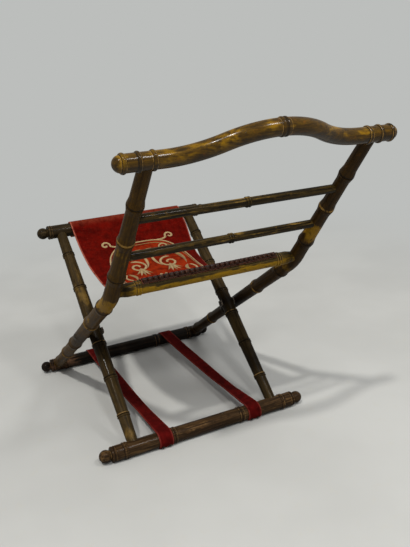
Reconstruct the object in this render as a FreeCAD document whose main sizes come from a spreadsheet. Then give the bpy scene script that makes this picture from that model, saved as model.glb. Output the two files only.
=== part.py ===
"""Folding chair of turned wood in the shape of bamboo: two long bent posts cross two straight legs
on pivot bolts, and a velvet sling hangs between the front seat bar and the rear seat rail.

The chair faces -Y, the sitter's left is +X and the floor is Z = 0. All lengths are in millimetres.
"""
import FreeCAD, Part
import Sketcher

import math
import os

from FreeCAD import Placement, Rotation, Vector

# Driving dimensions, one cell each
DIMENSIONS = (
    # Side view, measured from the front foot bar's axis
    ("foot_spread", 547.0),
    ("seat_bar_setback", 75.5),
    ("seat_bar_height", 449.3),
    ("knee_setback", 589.0),
    ("knee_height", 416.0),
    ("top_setback", 851.0),
    ("top_height", 735.0),
    ("knee_bend_radius", 180.0),
    ("rear_rail_climb", 23.0),
    ("lower_slat_climb", 147.0),
    ("upper_slat_climb", 262.0),
    # Widths
    ("post_spacing", 460.0),
    ("top_rail_overhang", 60.0),
    ("foot_bar_overhang", 51.0),
    ("seat_bar_overhang", 64.4),
    # Radii of the turned members
    ("post_foot_radius", 15.0),
    ("post_knee_radius", 17.6),
    ("post_top_radius", 13.2),
    ("leg_end_radius", 13.5),
    ("leg_middle_radius", 17.2),
    ("foot_bar_radius", 18.6),
    ("seat_bar_radius", 18.0),
    ("top_rail_radius", 15.8),
    ("rear_rail_radius", 15.0),
    ("rear_rail_end_radius", 12.6),
    ("rear_rail_taper", 14.0),
    ("rear_ring_offset", 8.0),
    ("slat_radius", 9.1),
    ("glue_gap", 0.1),
    ("seat_gap", 0.3),
    # Bamboo joints and beads
    ("bead_width", 6.0),
    ("bead_radius", 3.5),
    ("collar_bead_width", 5.4),
    ("collar_bead_radius", 2.95),
    ("swell_length", 17.0),
    ("swell_height", 2.6),
    ("groove_width", 2.2),
    ("groove_depth", 1.5),
    ("slat_bead_width", 5.6),
    ("slat_bead_radius", 3.0),
    ("slat_ring_offset", 11.0),
    # Turned ends of the bars
    ("ball_radius", 15.4),
    ("ball_neck_radius", 10.8),
    ("ball_neck_length", 2.2),
    ("end_collar_radius", 17.2),
    ("dome_base_radius", 14.8),
    ("dome_height", 13.2),
    ("cap_bead_width", 8.0),
    ("cap_bead_radius", 5.0),
    ("foot_wear", 0.7),
    ("outer_ring_offset", 24.0),
    ("strap_ring_room", 1.0),
    # Top rail
    ("hump_rise", 59.5),
    ("hump_lean_angle", 39.0),
    ("hump_end_run", 26.0),
    ("top_ring_inner_offset", 10.5),
    ("top_ring_outer_offset", 16.0),
    ("top_ring_width", 7.6),
    ("top_ring_radius", 4.3),
    ("middle_ring_sink", 0.6),
    # Pivots
    ("pivot_radius", 4.0),
    ("pivot_clearance", 0.06),
    ("pivot_flat_depth", 1.0),
    ("pivot_washer_radius", 11.0),
    ("pivot_washer_thickness", 5.0),
    ("pivot_head_radius", 9.0),
    ("pivot_head_height", 4.2),
    ("pivot_nut_radius", 8.0),
    ("pivot_nut_height", 4.5),
    ("pivot_end_height", 2.0),
    # Sling and straps
    ("sling_side_room", 27.6),
    ("sling_sag_radius", 378.0),
    ("velvet_thickness", 2.0),
    ("lining_thickness", 1.0),
    ("cloth_gap", 0.35),
    ("sling_front_wrap_angle", 205.0),
    ("sling_rear_wrap_angle", 52.0),
    ("braid_width", 15.0),
    ("braid_thickness", 1.2),
    ("nail_radius", 5.9),
    ("nail_height", 5.0),
    ("nail_pitch", 12.0),
    ("tack_radius", 4.4),
    ("tack_height", 2.2),
    ("tack_pitch", 45.0),
    ("tack_inset", 7.0),
    ("strap_width", 36.0),
    ("strap_thickness", 2.4),
    ("strap_sag_radius", 4600.0),
    ("strap_wrap_angle", 145.0),
    ("strap_inset_left", 75.6),
    ("strap_inset_right", 64.6),
    ("overrun", 40.0),
)

# Places of the bamboo joints, as shares of the length that they sit on
POST_LOWER_JOINT_SHARES = (0.075, 0.25, 0.42, 0.715, 0.913)
POST_UPPER_JOINT_SHARES = (0.205, 0.485, 0.735)
LEG_JOINT_SHARES = (0.13, 0.288, 0.435, 0.55, 0.703, 0.87)
LEG_FULLNESS_SHARES = (0.3, 0.7, 1.0, 1.0, 0.7, 0.3)
HUMP_FOOT_SHARE = 0.52
HALF_SHARE = 0.5
ZERO_TOLERANCE = 1e-9

# Bearings in the side view, in degrees
UP_BEARING = 90
HALF_TURN = 180

doc = FreeCAD.newDocument("folding_chair")
sheet = doc.addObject("Spreadsheet::Sheet", "Sizes")
for row, (alias, number) in enumerate(DIMENSIONS, start=1):
    sheet.set(f"A{row}", alias)
    sheet.set(f"B{row}", str(number))
    sheet.setAlias(f"B{row}", alias)
doc.recompute()

derived = doc.addObject("App::VarSet", "Derived")


def of_sheet(alias):
    """The expression that reads one cell of the sheet."""
    return f"Sizes.{alias}"


def derive(name, expression):
    """Keeps a worked-out size under its own name, bound to the sheet, and returns how to read it."""
    derived.addProperty("App::PropertyFloat", name)
    derived.setExpression(name, expression)
    derived.recompute()
    return f"Derived.{name}"


def value(expression):
    """The number that an expression gives now."""
    return float(sheet.evalExpression(str(expression)))


def size(alias):
    """The number in one cell of the sheet."""
    return value(of_sheet(alias))


# Worked-out sizes that several pieces share
BEAD_RISE = derive(
    "bead_rise", "Sizes.bead_radius - sqrt(Sizes.bead_radius^2 - Sizes.bead_width^2 / 4)"
)
TOP_RING_RISE = derive(
    "top_ring_rise",
    "Sizes.top_ring_radius - sqrt(Sizes.top_ring_radius^2 - Sizes.top_ring_width^2 / 4)",
)
FOOT_AXIS_HEIGHT = derive(
    "foot_axis_height", "Sizes.foot_bar_radius + Derived.bead_rise - Sizes.foot_wear"
)
LOWER_LENGTH = derive(
    "lower_length",
    "sqrt(Sizes.knee_setback^2 + (Sizes.knee_height - Derived.foot_axis_height)^2)",
)
UPPER_LENGTH = derive(
    "upper_length",
    "sqrt((Sizes.top_setback - Sizes.knee_setback)^2 + (Sizes.top_height - Sizes.knee_height)^2)",
)
LEG_LENGTH = derive(
    "leg_length",
    "sqrt((Sizes.foot_spread - Sizes.seat_bar_setback)^2"
    " + (Sizes.seat_bar_height - Derived.foot_axis_height)^2)",
)
LOWER_SLOPE = derive(
    "lower_slope",
    "atan((Sizes.knee_height - Derived.foot_axis_height) / Sizes.knee_setback) / 1 deg",
)
UPPER_SLOPE = derive(
    "upper_slope",
    "atan((Sizes.top_height - Sizes.knee_height) / (Sizes.top_setback - Sizes.knee_setback)) / 1 deg",
)
KNEE_TURN = derive("knee_turn", "Derived.upper_slope - Derived.lower_slope")
KNEE_TANGENT = derive("knee_tangent", "Sizes.knee_bend_radius * tan(Derived.knee_turn * 1 deg / 2)")
BEND_START = derive("bend_start", "Derived.lower_length - Derived.knee_tangent")
HUMP_REACH = derive("hump_reach", "Sizes.post_spacing / 2 - Sizes.hump_end_run")
HUMP_TURN = derive("hump_turn", "2 * atan(Sizes.hump_rise / Derived.hump_reach) / 1 deg")
HUMP_RADII = derive("hump_radii", "Derived.hump_reach / sin(Derived.hump_turn * 1 deg)")
TOP_RAIL_LENGTH = derive("top_rail_length", "Sizes.post_spacing + 2 * Sizes.top_rail_overhang")
FOOT_BAR_LENGTH = derive("foot_bar_length", "Sizes.post_spacing + 2 * Sizes.foot_bar_overhang")

FOOT_Z = value(FOOT_AXIS_HEIGHT)
LEAN = math.radians(size("hump_lean_angle"))
TOP_RING_RADIUS = size("top_rail_radius") + value(TOP_RING_RISE) - size("middle_ring_sink")
REARMOST = size("top_setback") + size("hump_rise") * math.cos(LEAN) + TOP_RING_RADIUS
FOREMOST = -(size("foot_bar_radius") + size("cloth_gap") + size("strap_thickness"))
FRONT_Y = -(REARMOST + FOREMOST) / 2


def side(setback, height):
    """A point of the side view, in the middle plane."""
    return Vector(0, FRONT_Y + setback, height)


FRONT_FOOT = side(0, FOOT_Z)
REAR_FOOT = side(size("foot_spread"), FOOT_Z)
SEAT_BAR = side(size("seat_bar_setback"), size("seat_bar_height"))
KNEE = side(size("knee_setback"), size("knee_height"))
TOP = side(size("top_setback"), size("top_height"))
LOWER_WAY = (KNEE - FRONT_FOOT).normalize()
UPPER_WAY = (TOP - KNEE).normalize()
LEG_WAY = (SEAT_BAR - REAR_FOOT).normalize()
X_WAY = Vector(1, 0, 0)


def crossing():
    """Where a post's lower run and a leg cross in the side view."""
    reach = REAR_FOOT - FRONT_FOOT
    turn = LOWER_WAY.y * LEG_WAY.z - LOWER_WAY.z * LEG_WAY.y
    along = (reach.y * LEG_WAY.z - reach.z * LEG_WAY.y) / turn
    return FRONT_FOOT + LOWER_WAY * along


REAR_RAIL = KNEE + UPPER_WAY * size("rear_rail_climb")
SLING_START = UP_BEARING + size("sling_front_wrap_angle")
SLING_END = UP_BEARING - size("sling_rear_wrap_angle")
CLOTH_RISE = 2 * size("cloth_gap") + size("lining_thickness") + size("velvet_thickness")
PIVOT = crossing()
PIVOT_ON_POST = (PIVOT - FRONT_FOOT).Length
PIVOT_ON_LEG = (PIVOT - REAR_FOOT).Length
POST_PIVOT_RADIUS = derive(
    "post_pivot_radius",
    "Sizes.post_foot_radius + (Sizes.post_knee_radius - Sizes.post_foot_radius)"
    f" * {PIVOT_ON_POST} / Derived.lower_length",
)
LEG_SPACING = derive(
    "leg_spacing",
    "Sizes.post_spacing - 2 * (Sizes.pivot_washer_thickness + Derived.post_pivot_radius"
    " + Sizes.leg_middle_radius - 2 * Sizes.pivot_flat_depth)",
)
SEAT_BAR_LENGTH = derive("seat_bar_length", "Derived.leg_spacing + 2 * Sizes.seat_bar_overhang")
SLING_WIDTH = derive("sling_width", "Derived.leg_spacing - 2 * Sizes.sling_side_room")
STRAP_RING_PLACE = derive(
    "strap_ring_place",
    "Derived.leg_spacing / 2 - Sizes.strap_inset_left - Sizes.strap_width / 2"
    " - Sizes.bead_width - Sizes.strap_ring_room",
)
SIDES = (("left", 1), ("right", -1))
sub_parts = []


# Sketch helpers
def plane_of(body, role):
    """One of a body's own origin planes."""
    return next(f for f in body.Origin.OriginFeatures if f.Role == role)


def new_sketch(body, name, role, offset=None):
    """A sketch on one of the body's origin planes, moved by an offset in the sketch's own axes."""
    sketch = body.newObject("Sketcher::SketchObject", name)
    sketch.AttachmentSupport = [(plane_of(body, role), "")]
    sketch.MapMode = "FlatFace"
    if offset is not None:
        sketch.AttachmentOffset = offset
    return sketch


def bind(sketch, kind, first, second, expression):
    """A distance between two points of a sketch, bound to an expression. Each point is (line, end)."""
    index = sketch.addConstraint(Sketcher.Constraint(kind, *first, *second, abs(value(expression))))
    sketch.setExpression(f"Constraints[{index}]", expression)


def fix_point(sketch, point, across, along):
    """Fixes a point's two coordinates in a sketch by expressions, which may be negative or zero."""
    origin = (-1, 1)
    for kind, axis, expression in (("DistanceX", -2, across), ("DistanceY", -1, along)):
        number = value(expression)
        if abs(number) < ZERO_TOLERANCE:
            sketch.addConstraint(Sketcher.Constraint("PointOnObject", *point, axis))
        elif number > 0:
            bind(sketch, kind, origin, point, expression)
        else:
            bind(sketch, kind, point, origin, f"-({expression})")


def arc_middle(start, end, radius, bulge):
    """The middle of an arc under a half circle; bulge 1 puts it on the right of the way to the end."""
    chord = end - start
    sagitta = radius - math.sqrt(max(radius**2 - chord.Length**2 / 4, 0))
    outward = Vector(chord.y, -chord.x, 0).normalize()
    return (start + end) / 2 + outward * sagitta * bulge


def draw_outline(sketch, corners, closed=True):
    """Draws an outline. A corner is (across, along), with (radius, bulge) after it where an arc leads on."""
    points = [Vector(value(c[0]), value(c[1]), 0) for c in corners]
    count = len(corners) if closed else len(corners) - 1
    ends = []
    for i in range(count):
        start, end = points[i], points[(i + 1) % len(points)]
        corner = corners[i]
        if len(corner) > 2:
            middle = arc_middle(start, end, value(corner[2]), corner[3])
            line = sketch.addGeometry(Part.Arc(start, middle, end))
        else:
            line = sketch.addGeometry(Part.LineSegment(start, end))
        first = sketch.getPoint(line, 1)
        first_is_start = (first - start).Length <= (first - end).Length
        ends.append(((line, 1), (line, 2)) if first_is_start else ((line, 2), (line, 1)))
    for i in range(count):
        if closed or i + 1 < count:
            joined = ends[(i + 1) % count][0]
            sketch.addConstraint(Sketcher.Constraint("Coincident", *ends[i][1], *joined))
    for i, corner in enumerate(corners):
        point = ends[i][0] if i < count else ends[-1][1]
        fix_point(sketch, point, corner[0], corner[1])
        if len(corner) > 2 and i < count:
            index = sketch.addConstraint(Sketcher.Constraint("Radius", ends[i][0][0], value(corner[2])))
            sketch.setExpression(f"Constraints[{index}]", corner[2])


def revolve(body, name, corners, offset=None):
    """A turned stretch: an outline from axis to axis, turned about the sketch's upright axis."""
    sketch = new_sketch(body, name + "_outline", "XZ_Plane", offset)
    draw_outline(sketch, corners)
    turned = body.newObject("PartDesign::Revolution", name)
    turned.Profile = sketch
    turned.ReferenceAxis = (sketch, ["V_Axis"])
    turned.Angle = 360
    sketch.Visibility = False
    return turned


def pocket(body, name, role, circles, offset=None, way=1, both=False):
    """Round holes through a body from a plane on, one way or both; circles are (across, along, radius)."""
    doc.recompute()
    before = body.Shape.Volume
    sketch = new_sketch(body, name + "_circles", role, offset)
    for across, along, radius in circles:
        centre = Vector(value(across), value(along), 0)
        circle = sketch.addGeometry(Part.Circle(centre, Vector(0, 0, 1), value(radius)))
        fix_point(sketch, (circle, 3), across, along)
        index = sketch.addConstraint(Sketcher.Constraint("Radius", circle, value(radius)))
        sketch.setExpression(f"Constraints[{index}]", radius)
    hole = body.newObject("PartDesign::Pocket", name)
    hole.Profile = sketch
    hole.Type = "ThroughAll"
    hole.Midplane = both
    hole.Reversed = way < 0
    sketch.Visibility = False
    doc.recompute()
    if not body.Shape.Volume < before:
        raise RuntimeError(f"{name} cut nothing")
    return hole


def new_body(label):
    """An empty sub-part."""
    body = doc.addObject("PartDesign::Body", label)
    body.Label = label
    sub_parts.append(body)
    return body


def new_feature(label, shape):
    """A sub-part whose shape is worked out here from the sheet's sizes."""
    feature = doc.addObject("Part::Feature", label)
    feature.Label = label
    feature.Shape = shape
    sub_parts.append(feature)
    return feature


# Outlines of turned details, as lists of corners along a member
def bead_pair(place, base, width, radius):
    """Two half-round beads side by side."""
    return [
        (base, f"{place} - {width}", radius, 1),
        (base, f"{place}", radius, 1),
        (base, f"{place} + {width}"),
    ]


def one_bead(place, base, width, radius):
    """One half-round bead."""
    return [(base, f"{place} - {width} / 2", radius, 1), (base, f"{place} + {width} / 2")]


def collar(place, base):
    """A leg's bamboo joint: a raised double ring."""
    return bead_pair(place, base, of_sheet("collar_bead_width"), of_sheet("collar_bead_radius"))


def swelling(place, base):
    """A post's bamboo joint: a gentle swelling with a cut ring at its top."""
    peak = f"{base} + Sizes.swell_height"
    return [
        (base, f"{place} - Sizes.swell_length"),
        (peak, f"{place} - Sizes.groove_width / 2"),
        (f"{peak} - Sizes.groove_depth", f"{place}"),
        (peak, f"{place} + Sizes.groove_width / 2"),
        (base, f"{place} + Sizes.swell_length"),
    ]


def bead(place, base):
    """A bar's ring."""
    return bead_pair(place, base, of_sheet("bead_width"), of_sheet("bead_radius"))


def ball_end(tip):
    """A bar's turned end from its tip on: a ball, a neck and a double ring up to the bar."""
    ball = "Sizes.ball_radius + sqrt(Sizes.ball_radius^2 - Sizes.ball_neck_radius^2)"
    neck = f"{tip} + {ball} + Sizes.ball_neck_length"
    width, radius = of_sheet("bead_width"), of_sheet("bead_radius")
    low = of_sheet("end_collar_radius")
    return [
        ("0", tip, of_sheet("ball_radius"), 1),
        (of_sheet("ball_neck_radius"), f"{tip} + {ball}"),
        (of_sheet("ball_neck_radius"), neck),
        (low, neck, radius, 1),
        (low, f"{neck} + {width}", radius, 1),
        (low, f"{neck} + 2 * {width}"),
    ]


def mirrored(corners):
    """The same outline for a member's other end, so that the whole runs on from one end to the other."""
    ends = [(c[0], f"-({c[1]})") for c in reversed(corners)]
    arcs = [c[2:] for c in reversed(corners[:-1])]
    return [end + arc for end, arc in zip(ends, arcs + [()])]


def bar_outline(length, radius, ring_places):
    """A bar's whole outline, alike at both ends, with rings at places counted from its middle."""
    half = ball_end(f"-{length} / 2")
    half += [(radius, half[-1][1])]
    for place in sorted(ring_places, key=value, reverse=True):
        half += bead(f"-({place})", radius)
    return half + mirrored(half)


# Places of pieces
def along_member(start, way, x_place):
    """Local Z runs along a member in the side view, and local X stays the chair's X."""
    return Placement(start + X_WAY * x_place, Rotation(X_WAY, way.cross(X_WAY), way, "ZXY"))


def along_bar(middle, way):
    """Local Z runs along the chair's X, and local X points the way that a member leaves the bar."""
    return Placement(middle, Rotation(way, X_WAY.cross(way), X_WAY, "ZXY"))


# Wooden members
def make_post(label, sign):
    """A long post: a straight lower run, a bend at the knee and a straight upper run, in one piece."""
    body = new_body(label)
    knee = of_sheet("post_knee_radius")
    foot = of_sheet("post_foot_radius")
    lower = [("0", of_sheet("seat_gap")), (foot, of_sheet("seat_gap")), (foot, of_sheet("foot_bar_radius"))]
    for share in POST_LOWER_JOINT_SHARES:
        lower += swelling(f"{LOWER_LENGTH} * {share}", f"({foot} + ({knee} - {foot}) * {share})")
    lower += [(knee, BEND_START), ("0", BEND_START)]
    revolve(body, label + "_lower", lower)

    turn = math.radians(value(KNEE_TURN))
    bend = size("knee_bend_radius")
    start = Placement(Vector(0, 0, value(BEND_START)), Rotation())
    disc = new_sketch(body, label + "_disc", "XY_Plane", start)
    disc.setExpression("AttachmentOffset.Base.z", BEND_START)
    circle = disc.addGeometry(Part.Circle(Vector(), Vector(0, 0, 1), value(knee)))
    disc.addConstraint(Sketcher.Constraint("Coincident", circle, 3, -1, 1))
    index = disc.addConstraint(Sketcher.Constraint("Radius", circle, value(knee)))
    disc.setExpression(f"Constraints[{index}]", knee)
    reach = value(knee)
    hinge = disc.addGeometry(Part.LineSegment(Vector(-reach, -bend, 0), Vector(reach, -bend, 0)), True)
    fix_point(disc, (hinge, 1), f"-{knee}", f"-{of_sheet('knee_bend_radius')}")
    fix_point(disc, (hinge, 2), knee, f"-{of_sheet('knee_bend_radius')}")
    elbow = body.newObject("PartDesign::Revolution", label + "_knee")
    elbow.Profile = disc
    elbow.ReferenceAxis = (disc, ["Axis0"])
    elbow.setExpression("Angle", KNEE_TURN)
    disc.Visibility = False

    top = of_sheet("post_top_radius")
    upper_end = f"{UPPER_LENGTH} - {KNEE_TANGENT} - {of_sheet('seat_gap')}"
    upper = [("0", "0"), (knee, "0")]
    for share in POST_UPPER_JOINT_SHARES:
        place = f"{UPPER_LENGTH} * {share} - {KNEE_TANGENT}"
        upper += swelling(place, f"({knee} + ({top} - {knee}) * {share})")
    upper += [(top, f"{upper_end} - Sizes.top_rail_radius"), (top, upper_end), ("0", upper_end)]
    lift = Vector(0, value(BEND_START) + bend * math.sin(turn), bend * (1 - math.cos(turn)))
    revolve(body, label + "_upper", upper, Placement(lift, Rotation(X_WAY, value(KNEE_TURN))))

    body.Placement = along_member(FRONT_FOOT, LOWER_WAY, sign * size("post_spacing") / 2)
    bore_post(body, label, sign)


def bore_post(body, label, sign):
    """The pivot's hole and its flat, and the sockets of the rear rail and the slats, on the inner side."""
    place = body.Placement.inverse()
    bolt = f"Sizes.pivot_radius + {of_sheet('glue_gap')}"
    pocket(body, label + "_pivot_hole", "YZ_Plane", [("0", str(PIVOT_ON_POST), bolt)], both=True)
    spot_faces(body, label, sign, value(POST_PIVOT_RADIUS), PIVOT_ON_POST)
    sockets = []
    for climb, radius in (
        ("rear_rail_climb", "rear_rail_end_radius"),
        ("lower_slat_climb", "slat_radius"),
        ("upper_slat_climb", "slat_radius"),
    ):
        point = place.multVec(KNEE + UPPER_WAY * size(climb))
        sockets.append((str(point.y), str(point.z), f"{of_sheet(radius)} + {of_sheet('glue_gap')}"))
    pocket(body, label + "_sockets", "YZ_Plane", sockets, way=sign)


def spot_faces(body, label, sign, radius, along):
    """The round flats that the pivot's head, washer and nut sit on, cut into a member's two sides."""
    flat = radius - size("pivot_flat_depth")
    room = f"Sizes.pivot_washer_radius + {of_sheet('seat_gap')}"
    for name, face in (("outer", sign), ("inner", -sign)):
        place = Placement(Vector(0, 0, face * flat), Rotation())
        pocket(body, f"{label}_{name}_flat", "YZ_Plane", [("0", str(along), room)], place, way=-face)


def make_leg(label, sign):
    """A straight leg from the rear foot bar up to the front seat bar, thickest in the middle."""
    body = new_body(label)
    end, middle = of_sheet("leg_end_radius"), of_sheet("leg_middle_radius")
    corners = [("0", of_sheet("seat_gap")), (end, of_sheet("seat_gap"))]
    corners += [(end, of_sheet("foot_bar_radius"))]
    for share, fullness_share in zip(LEG_JOINT_SHARES, LEG_FULLNESS_SHARES):
        base = f"({end} + ({middle} - {end}) * {fullness_share})"
        corners += collar(f"{LEG_LENGTH} * {share}", base)
    last = f"{LEG_LENGTH} - {of_sheet('seat_gap')}"
    corners += [(end, f"{last} - Sizes.seat_bar_radius"), (end, last), ("0", last)]
    revolve(body, label + "_turned", corners)
    body.Placement = along_member(REAR_FOOT, LEG_WAY, sign * value(LEG_SPACING) / 2)
    bolt = f"Sizes.pivot_radius + {of_sheet('pivot_clearance')}"
    pocket(body, label + "_pivot_hole", "YZ_Plane", [("0", str(PIVOT_ON_LEG), bolt)], both=True)
    spot_faces(body, label, sign, size("leg_middle_radius"), PIVOT_ON_LEG)


def make_bar(label, middle, way, length, radius, rings, spacing, end_radius, stands=False):
    """A bar with turned ends and two blind sockets that reach its axis."""
    body = new_body(label)
    revolve(body, label + "_turned", bar_outline(length, of_sheet(radius), rings))
    body.Placement = along_bar(middle, way)
    socket = f"{of_sheet(end_radius)} + {of_sheet('glue_gap')}"
    places = [("0", f"{sign} * ({spacing}) / 2", socket) for _, sign in SIDES]
    pocket(body, label + "_sockets", "YZ_Plane", places, way=-1)
    if stands:
        wear_flat(body, label, way)


def wear_flat(body, label, way):
    """The narrow flat that a foot bar's rings have worn on the floor."""
    before = body.Shape.Volume
    down = Vector(0, 0, -1)
    floor_turn = math.degrees(math.atan2(X_WAY.cross(way).dot(down), way.dot(down)))
    turned = Placement(Vector(), Rotation(Vector(0, 0, 1), floor_turn))
    sketch = new_sketch(body, label + "_flat_outline", "XY_Plane", turned)
    far = f"{FOOT_AXIS_HEIGHT} + {of_sheet('overrun')}"
    corners = [
        (FOOT_AXIS_HEIGHT, f"-{of_sheet('overrun')}"),
        (far, f"-{of_sheet('overrun')}"),
        (far, of_sheet("overrun")),
        (FOOT_AXIS_HEIGHT, of_sheet("overrun")),
    ]
    draw_outline(sketch, corners)
    cut = body.newObject("PartDesign::Pocket", label + "_flat")
    cut.Profile = sketch
    cut.Type = "ThroughAll"
    cut.Midplane = True
    sketch.Visibility = False
    doc.recompute()
    if not body.Shape.Volume < before:
        raise RuntimeError(f"{label} was not cut flat")


def make_top_rail():
    """The serpentine top rail: straight turned ends with domed caps, and a hump that rises up and back."""
    body = new_body("top_rail")
    radius, reach = of_sheet("top_rail_radius"), HUMP_REACH
    width, round_ = of_sheet("top_ring_width"), of_sheet("top_ring_radius")
    dome = "(Sizes.dome_base_radius^2 + Sizes.dome_height^2) / (2 * Sizes.dome_height)"
    tip = f"-{TOP_RAIL_LENGTH} / 2"
    base = f"{tip} + Sizes.dome_height"
    end = [
        ("0", tip, dome, 1),
        (of_sheet("dome_base_radius"), base),
        (radius, base, of_sheet("cap_bead_radius"), 1),
        (radius, f"{base} + Sizes.cap_bead_width"),
    ]
    for offset in ("Sizes.top_ring_outer_offset", "-Sizes.top_ring_inner_offset"):
        end += one_bead(f"-(Sizes.post_spacing / 2 + {offset})", radius, width, round_)
    end += [(radius, f"-{reach}")]
    revolve(body, "top_rail_right_end", end + [("0", f"-{reach}")])

    way = -UPPER_WAY
    body.Placement = along_bar(TOP, way)
    hump_way = Vector(0, math.cos(LEAN), math.sin(LEAN))
    swing = math.atan2(X_WAY.cross(way).dot(hump_way), way.dot(hump_way))
    turned = Placement(Vector(), Rotation(Vector(0, 1, 0), math.degrees(swing)))
    path = new_sketch(body, "top_rail_path", "XZ_Plane", turned)
    first, second = f"{HUMP_RADII} * {HUMP_FOOT_SHARE}", f"{HUMP_RADII} * {1 - HUMP_FOOT_SHARE}"
    rise = f"({first}) * (1 - cos({HUMP_TURN} * 1 deg))"
    run = f"{reach} - ({first}) * sin({HUMP_TURN} * 1 deg)"
    bends = [
        ("0", f"-({reach})", first, -1),
        (rise, f"-({run})", second, 1),
        (rise, run, first, -1),
        ("0", reach),
    ]
    draw_outline(path, bends, closed=False)
    start = Placement(Vector(0, 0, -value(reach)), Rotation())
    section = new_sketch(body, "top_rail_section", "XY_Plane", start)
    section.setExpression("AttachmentOffset.Base.z", f"-{reach}")
    circle = section.addGeometry(Part.Circle(Vector(), Vector(0, 0, 1), value(radius)))
    section.addConstraint(Sketcher.Constraint("Coincident", circle, 3, -1, 1))
    index = section.addConstraint(Sketcher.Constraint("Radius", circle, value(radius)))
    section.setExpression(f"Constraints[{index}]", radius)
    doc.recompute()
    pipe = body.newObject("PartDesign::AdditivePipe", "top_rail_hump")
    pipe.Profile = section
    pipe.Spine = path
    doc.recompute()
    revolve(body, "top_rail_left_end", mirrored(end + [("0", f"-{reach}")]))
    apex = hump_offset(swing)
    ring = bead_pair("0", f"{radius} - Sizes.middle_ring_sink", width, round_)
    revolve(body, "top_rail_middle_ring", [("0", f"-{width}")] + ring + [("0", width)], apex)
    for sketch in (path, section):
        sketch.Visibility = False
    socket = f"{of_sheet('post_top_radius')} + {of_sheet('glue_gap')}"
    places = [("0", f"{sign} * Sizes.post_spacing / 2", socket) for _, sign in SIDES]
    pocket(body, "top_rail_sockets", "YZ_Plane", places, way=-1)


def hump_offset(swing):
    """The place of the hump's top in the axes of a sketch on the rail's XZ plane."""
    rise = size("hump_rise")
    top = Vector(rise * math.cos(swing), 0, -rise * math.sin(swing))
    return Placement(top, Rotation(Vector(0, 1, 0), math.degrees(swing)))


def make_slat(label, climb):
    """A thin round slat of the back, with a ring near its middle and its ends in the posts."""
    body = new_body(label)
    radius = of_sheet("slat_radius")
    tip = "(Sizes.post_spacing / 2 - Sizes.seat_gap)"
    half = [("0", f"-{tip}"), (radius, f"-{tip}")]
    place = f"-{of_sheet('slat_ring_offset')}"
    middle = bead_pair(place, radius, of_sheet("slat_bead_width"), of_sheet("slat_bead_radius"))
    revolve(body, label + "_turned", half + middle + mirrored(half))
    body.Placement = along_bar(KNEE + UPPER_WAY * size(climb), UPPER_WAY)


def make_rear_rail():
    """The rear seat rail, with a ring near each end of the sling and its drawn-in ends in the posts."""
    body = new_body("rear_seat_rail")
    radius, end = of_sheet("rear_rail_radius"), of_sheet("rear_rail_end_radius")
    tip = "(Sizes.post_spacing / 2 - Sizes.seat_gap)"
    neck = "(Sizes.post_spacing / 2 - Sizes.post_knee_radius - Sizes.rear_rail_taper)"
    half = [("0", f"-{tip}"), (end, f"-{tip}")]
    half += [(end, f"-{tip} + Sizes.post_knee_radius"), (radius, f"-{neck}")]
    half += bead(f"-({SLING_WIDTH} / 2 + Sizes.rear_ring_offset)", radius)
    revolve(body, "rear_seat_rail_turned", half + mirrored(half))
    body.Placement = along_bar(REAR_RAIL, UPPER_WAY)


def make_pivot(label, sign):
    """A pivot's bolt with its domed head, the washer between post and leg, and the nut on the inner side.

    Each is drawn along the pivot's axis from the middle plane outwards."""
    place = Placement(PIVOT, Rotation(LOWER_WAY, X_WAY.cross(LOWER_WAY) * sign, X_WAY * sign, "ZXY"))
    flat = of_sheet("pivot_flat_depth")
    head_seat = f"(Sizes.post_spacing / 2 + {POST_PIVOT_RADIUS} - {flat})"
    washer_out = f"(Sizes.post_spacing / 2 - {POST_PIVOT_RADIUS} + {flat})"
    washer_in = f"({washer_out} - Sizes.pivot_washer_thickness + Sizes.pivot_clearance)"
    nut_out = f"({LEG_SPACING} / 2 - Sizes.leg_middle_radius + {flat} - Sizes.seat_gap)"
    nut_in = f"({nut_out} - Sizes.pivot_nut_height)"
    tip = f"({nut_in} - Sizes.pivot_end_height)"
    shank, head = of_sheet("pivot_radius"), of_sheet("pivot_head_radius")
    height = of_sheet("pivot_head_height")
    ball = f"({head}^2 + {height}^2) / (2 * {height})"
    bore = f"{shank} + Sizes.pivot_clearance"

    bolt = new_body(f"{label}_pivot_bolt")
    outline = [("0", tip), (shank, tip), (shank, head_seat)]
    outline += [(head, head_seat, ball, 1), ("0", f"{head_seat} + {height}")]
    revolve(bolt, f"{label}_bolt_turned", outline)

    washer = new_body(f"{label}_pivot_washer")
    rim = of_sheet("pivot_washer_radius")
    outline = [(bore, washer_in), (rim, washer_in), (rim, washer_out), (bore, washer_out)]
    revolve(washer, f"{label}_washer_turned", outline)

    nut = new_body(f"{label}_pivot_nut")
    start = Placement(Vector(0, 0, value(nut_in)), Rotation())
    sketch = new_sketch(nut, f"{label}_nut_outline", "XY_Plane", start)
    sketch.setExpression("AttachmentOffset.Base.z", nut_in)
    half = of_sheet("pivot_nut_radius")
    draw_outline(sketch, [(half, f"-{half}"), (half, half), (f"-{half}", half), (f"-{half}", f"-{half}")])
    block = nut.newObject("PartDesign::Pad", f"{label}_nut_block")
    block.Profile = sketch
    block.setExpression("Length", of_sheet("pivot_nut_height"))
    sketch.Visibility = False
    pocket(nut, f"{label}_nut_hole", "XY_Plane", [("0", "0", bore)], both=True)
    for body in (bolt, washer, nut):
        body.Placement = place


# Cloth pieces
def on_circle(centre, radius, degrees):
    """A point of a circle in the side view; 0 degrees is the rear and 90 the top."""
    angle = math.radians(degrees)
    return Vector(0, centre.y + radius * math.cos(angle), centre.z + radius * math.sin(angle))


def bearing(centre, point):
    """The angle of a point seen from a circle's centre, in degrees."""
    return math.degrees(math.atan2(point.z - centre.z, point.y - centre.y))


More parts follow.
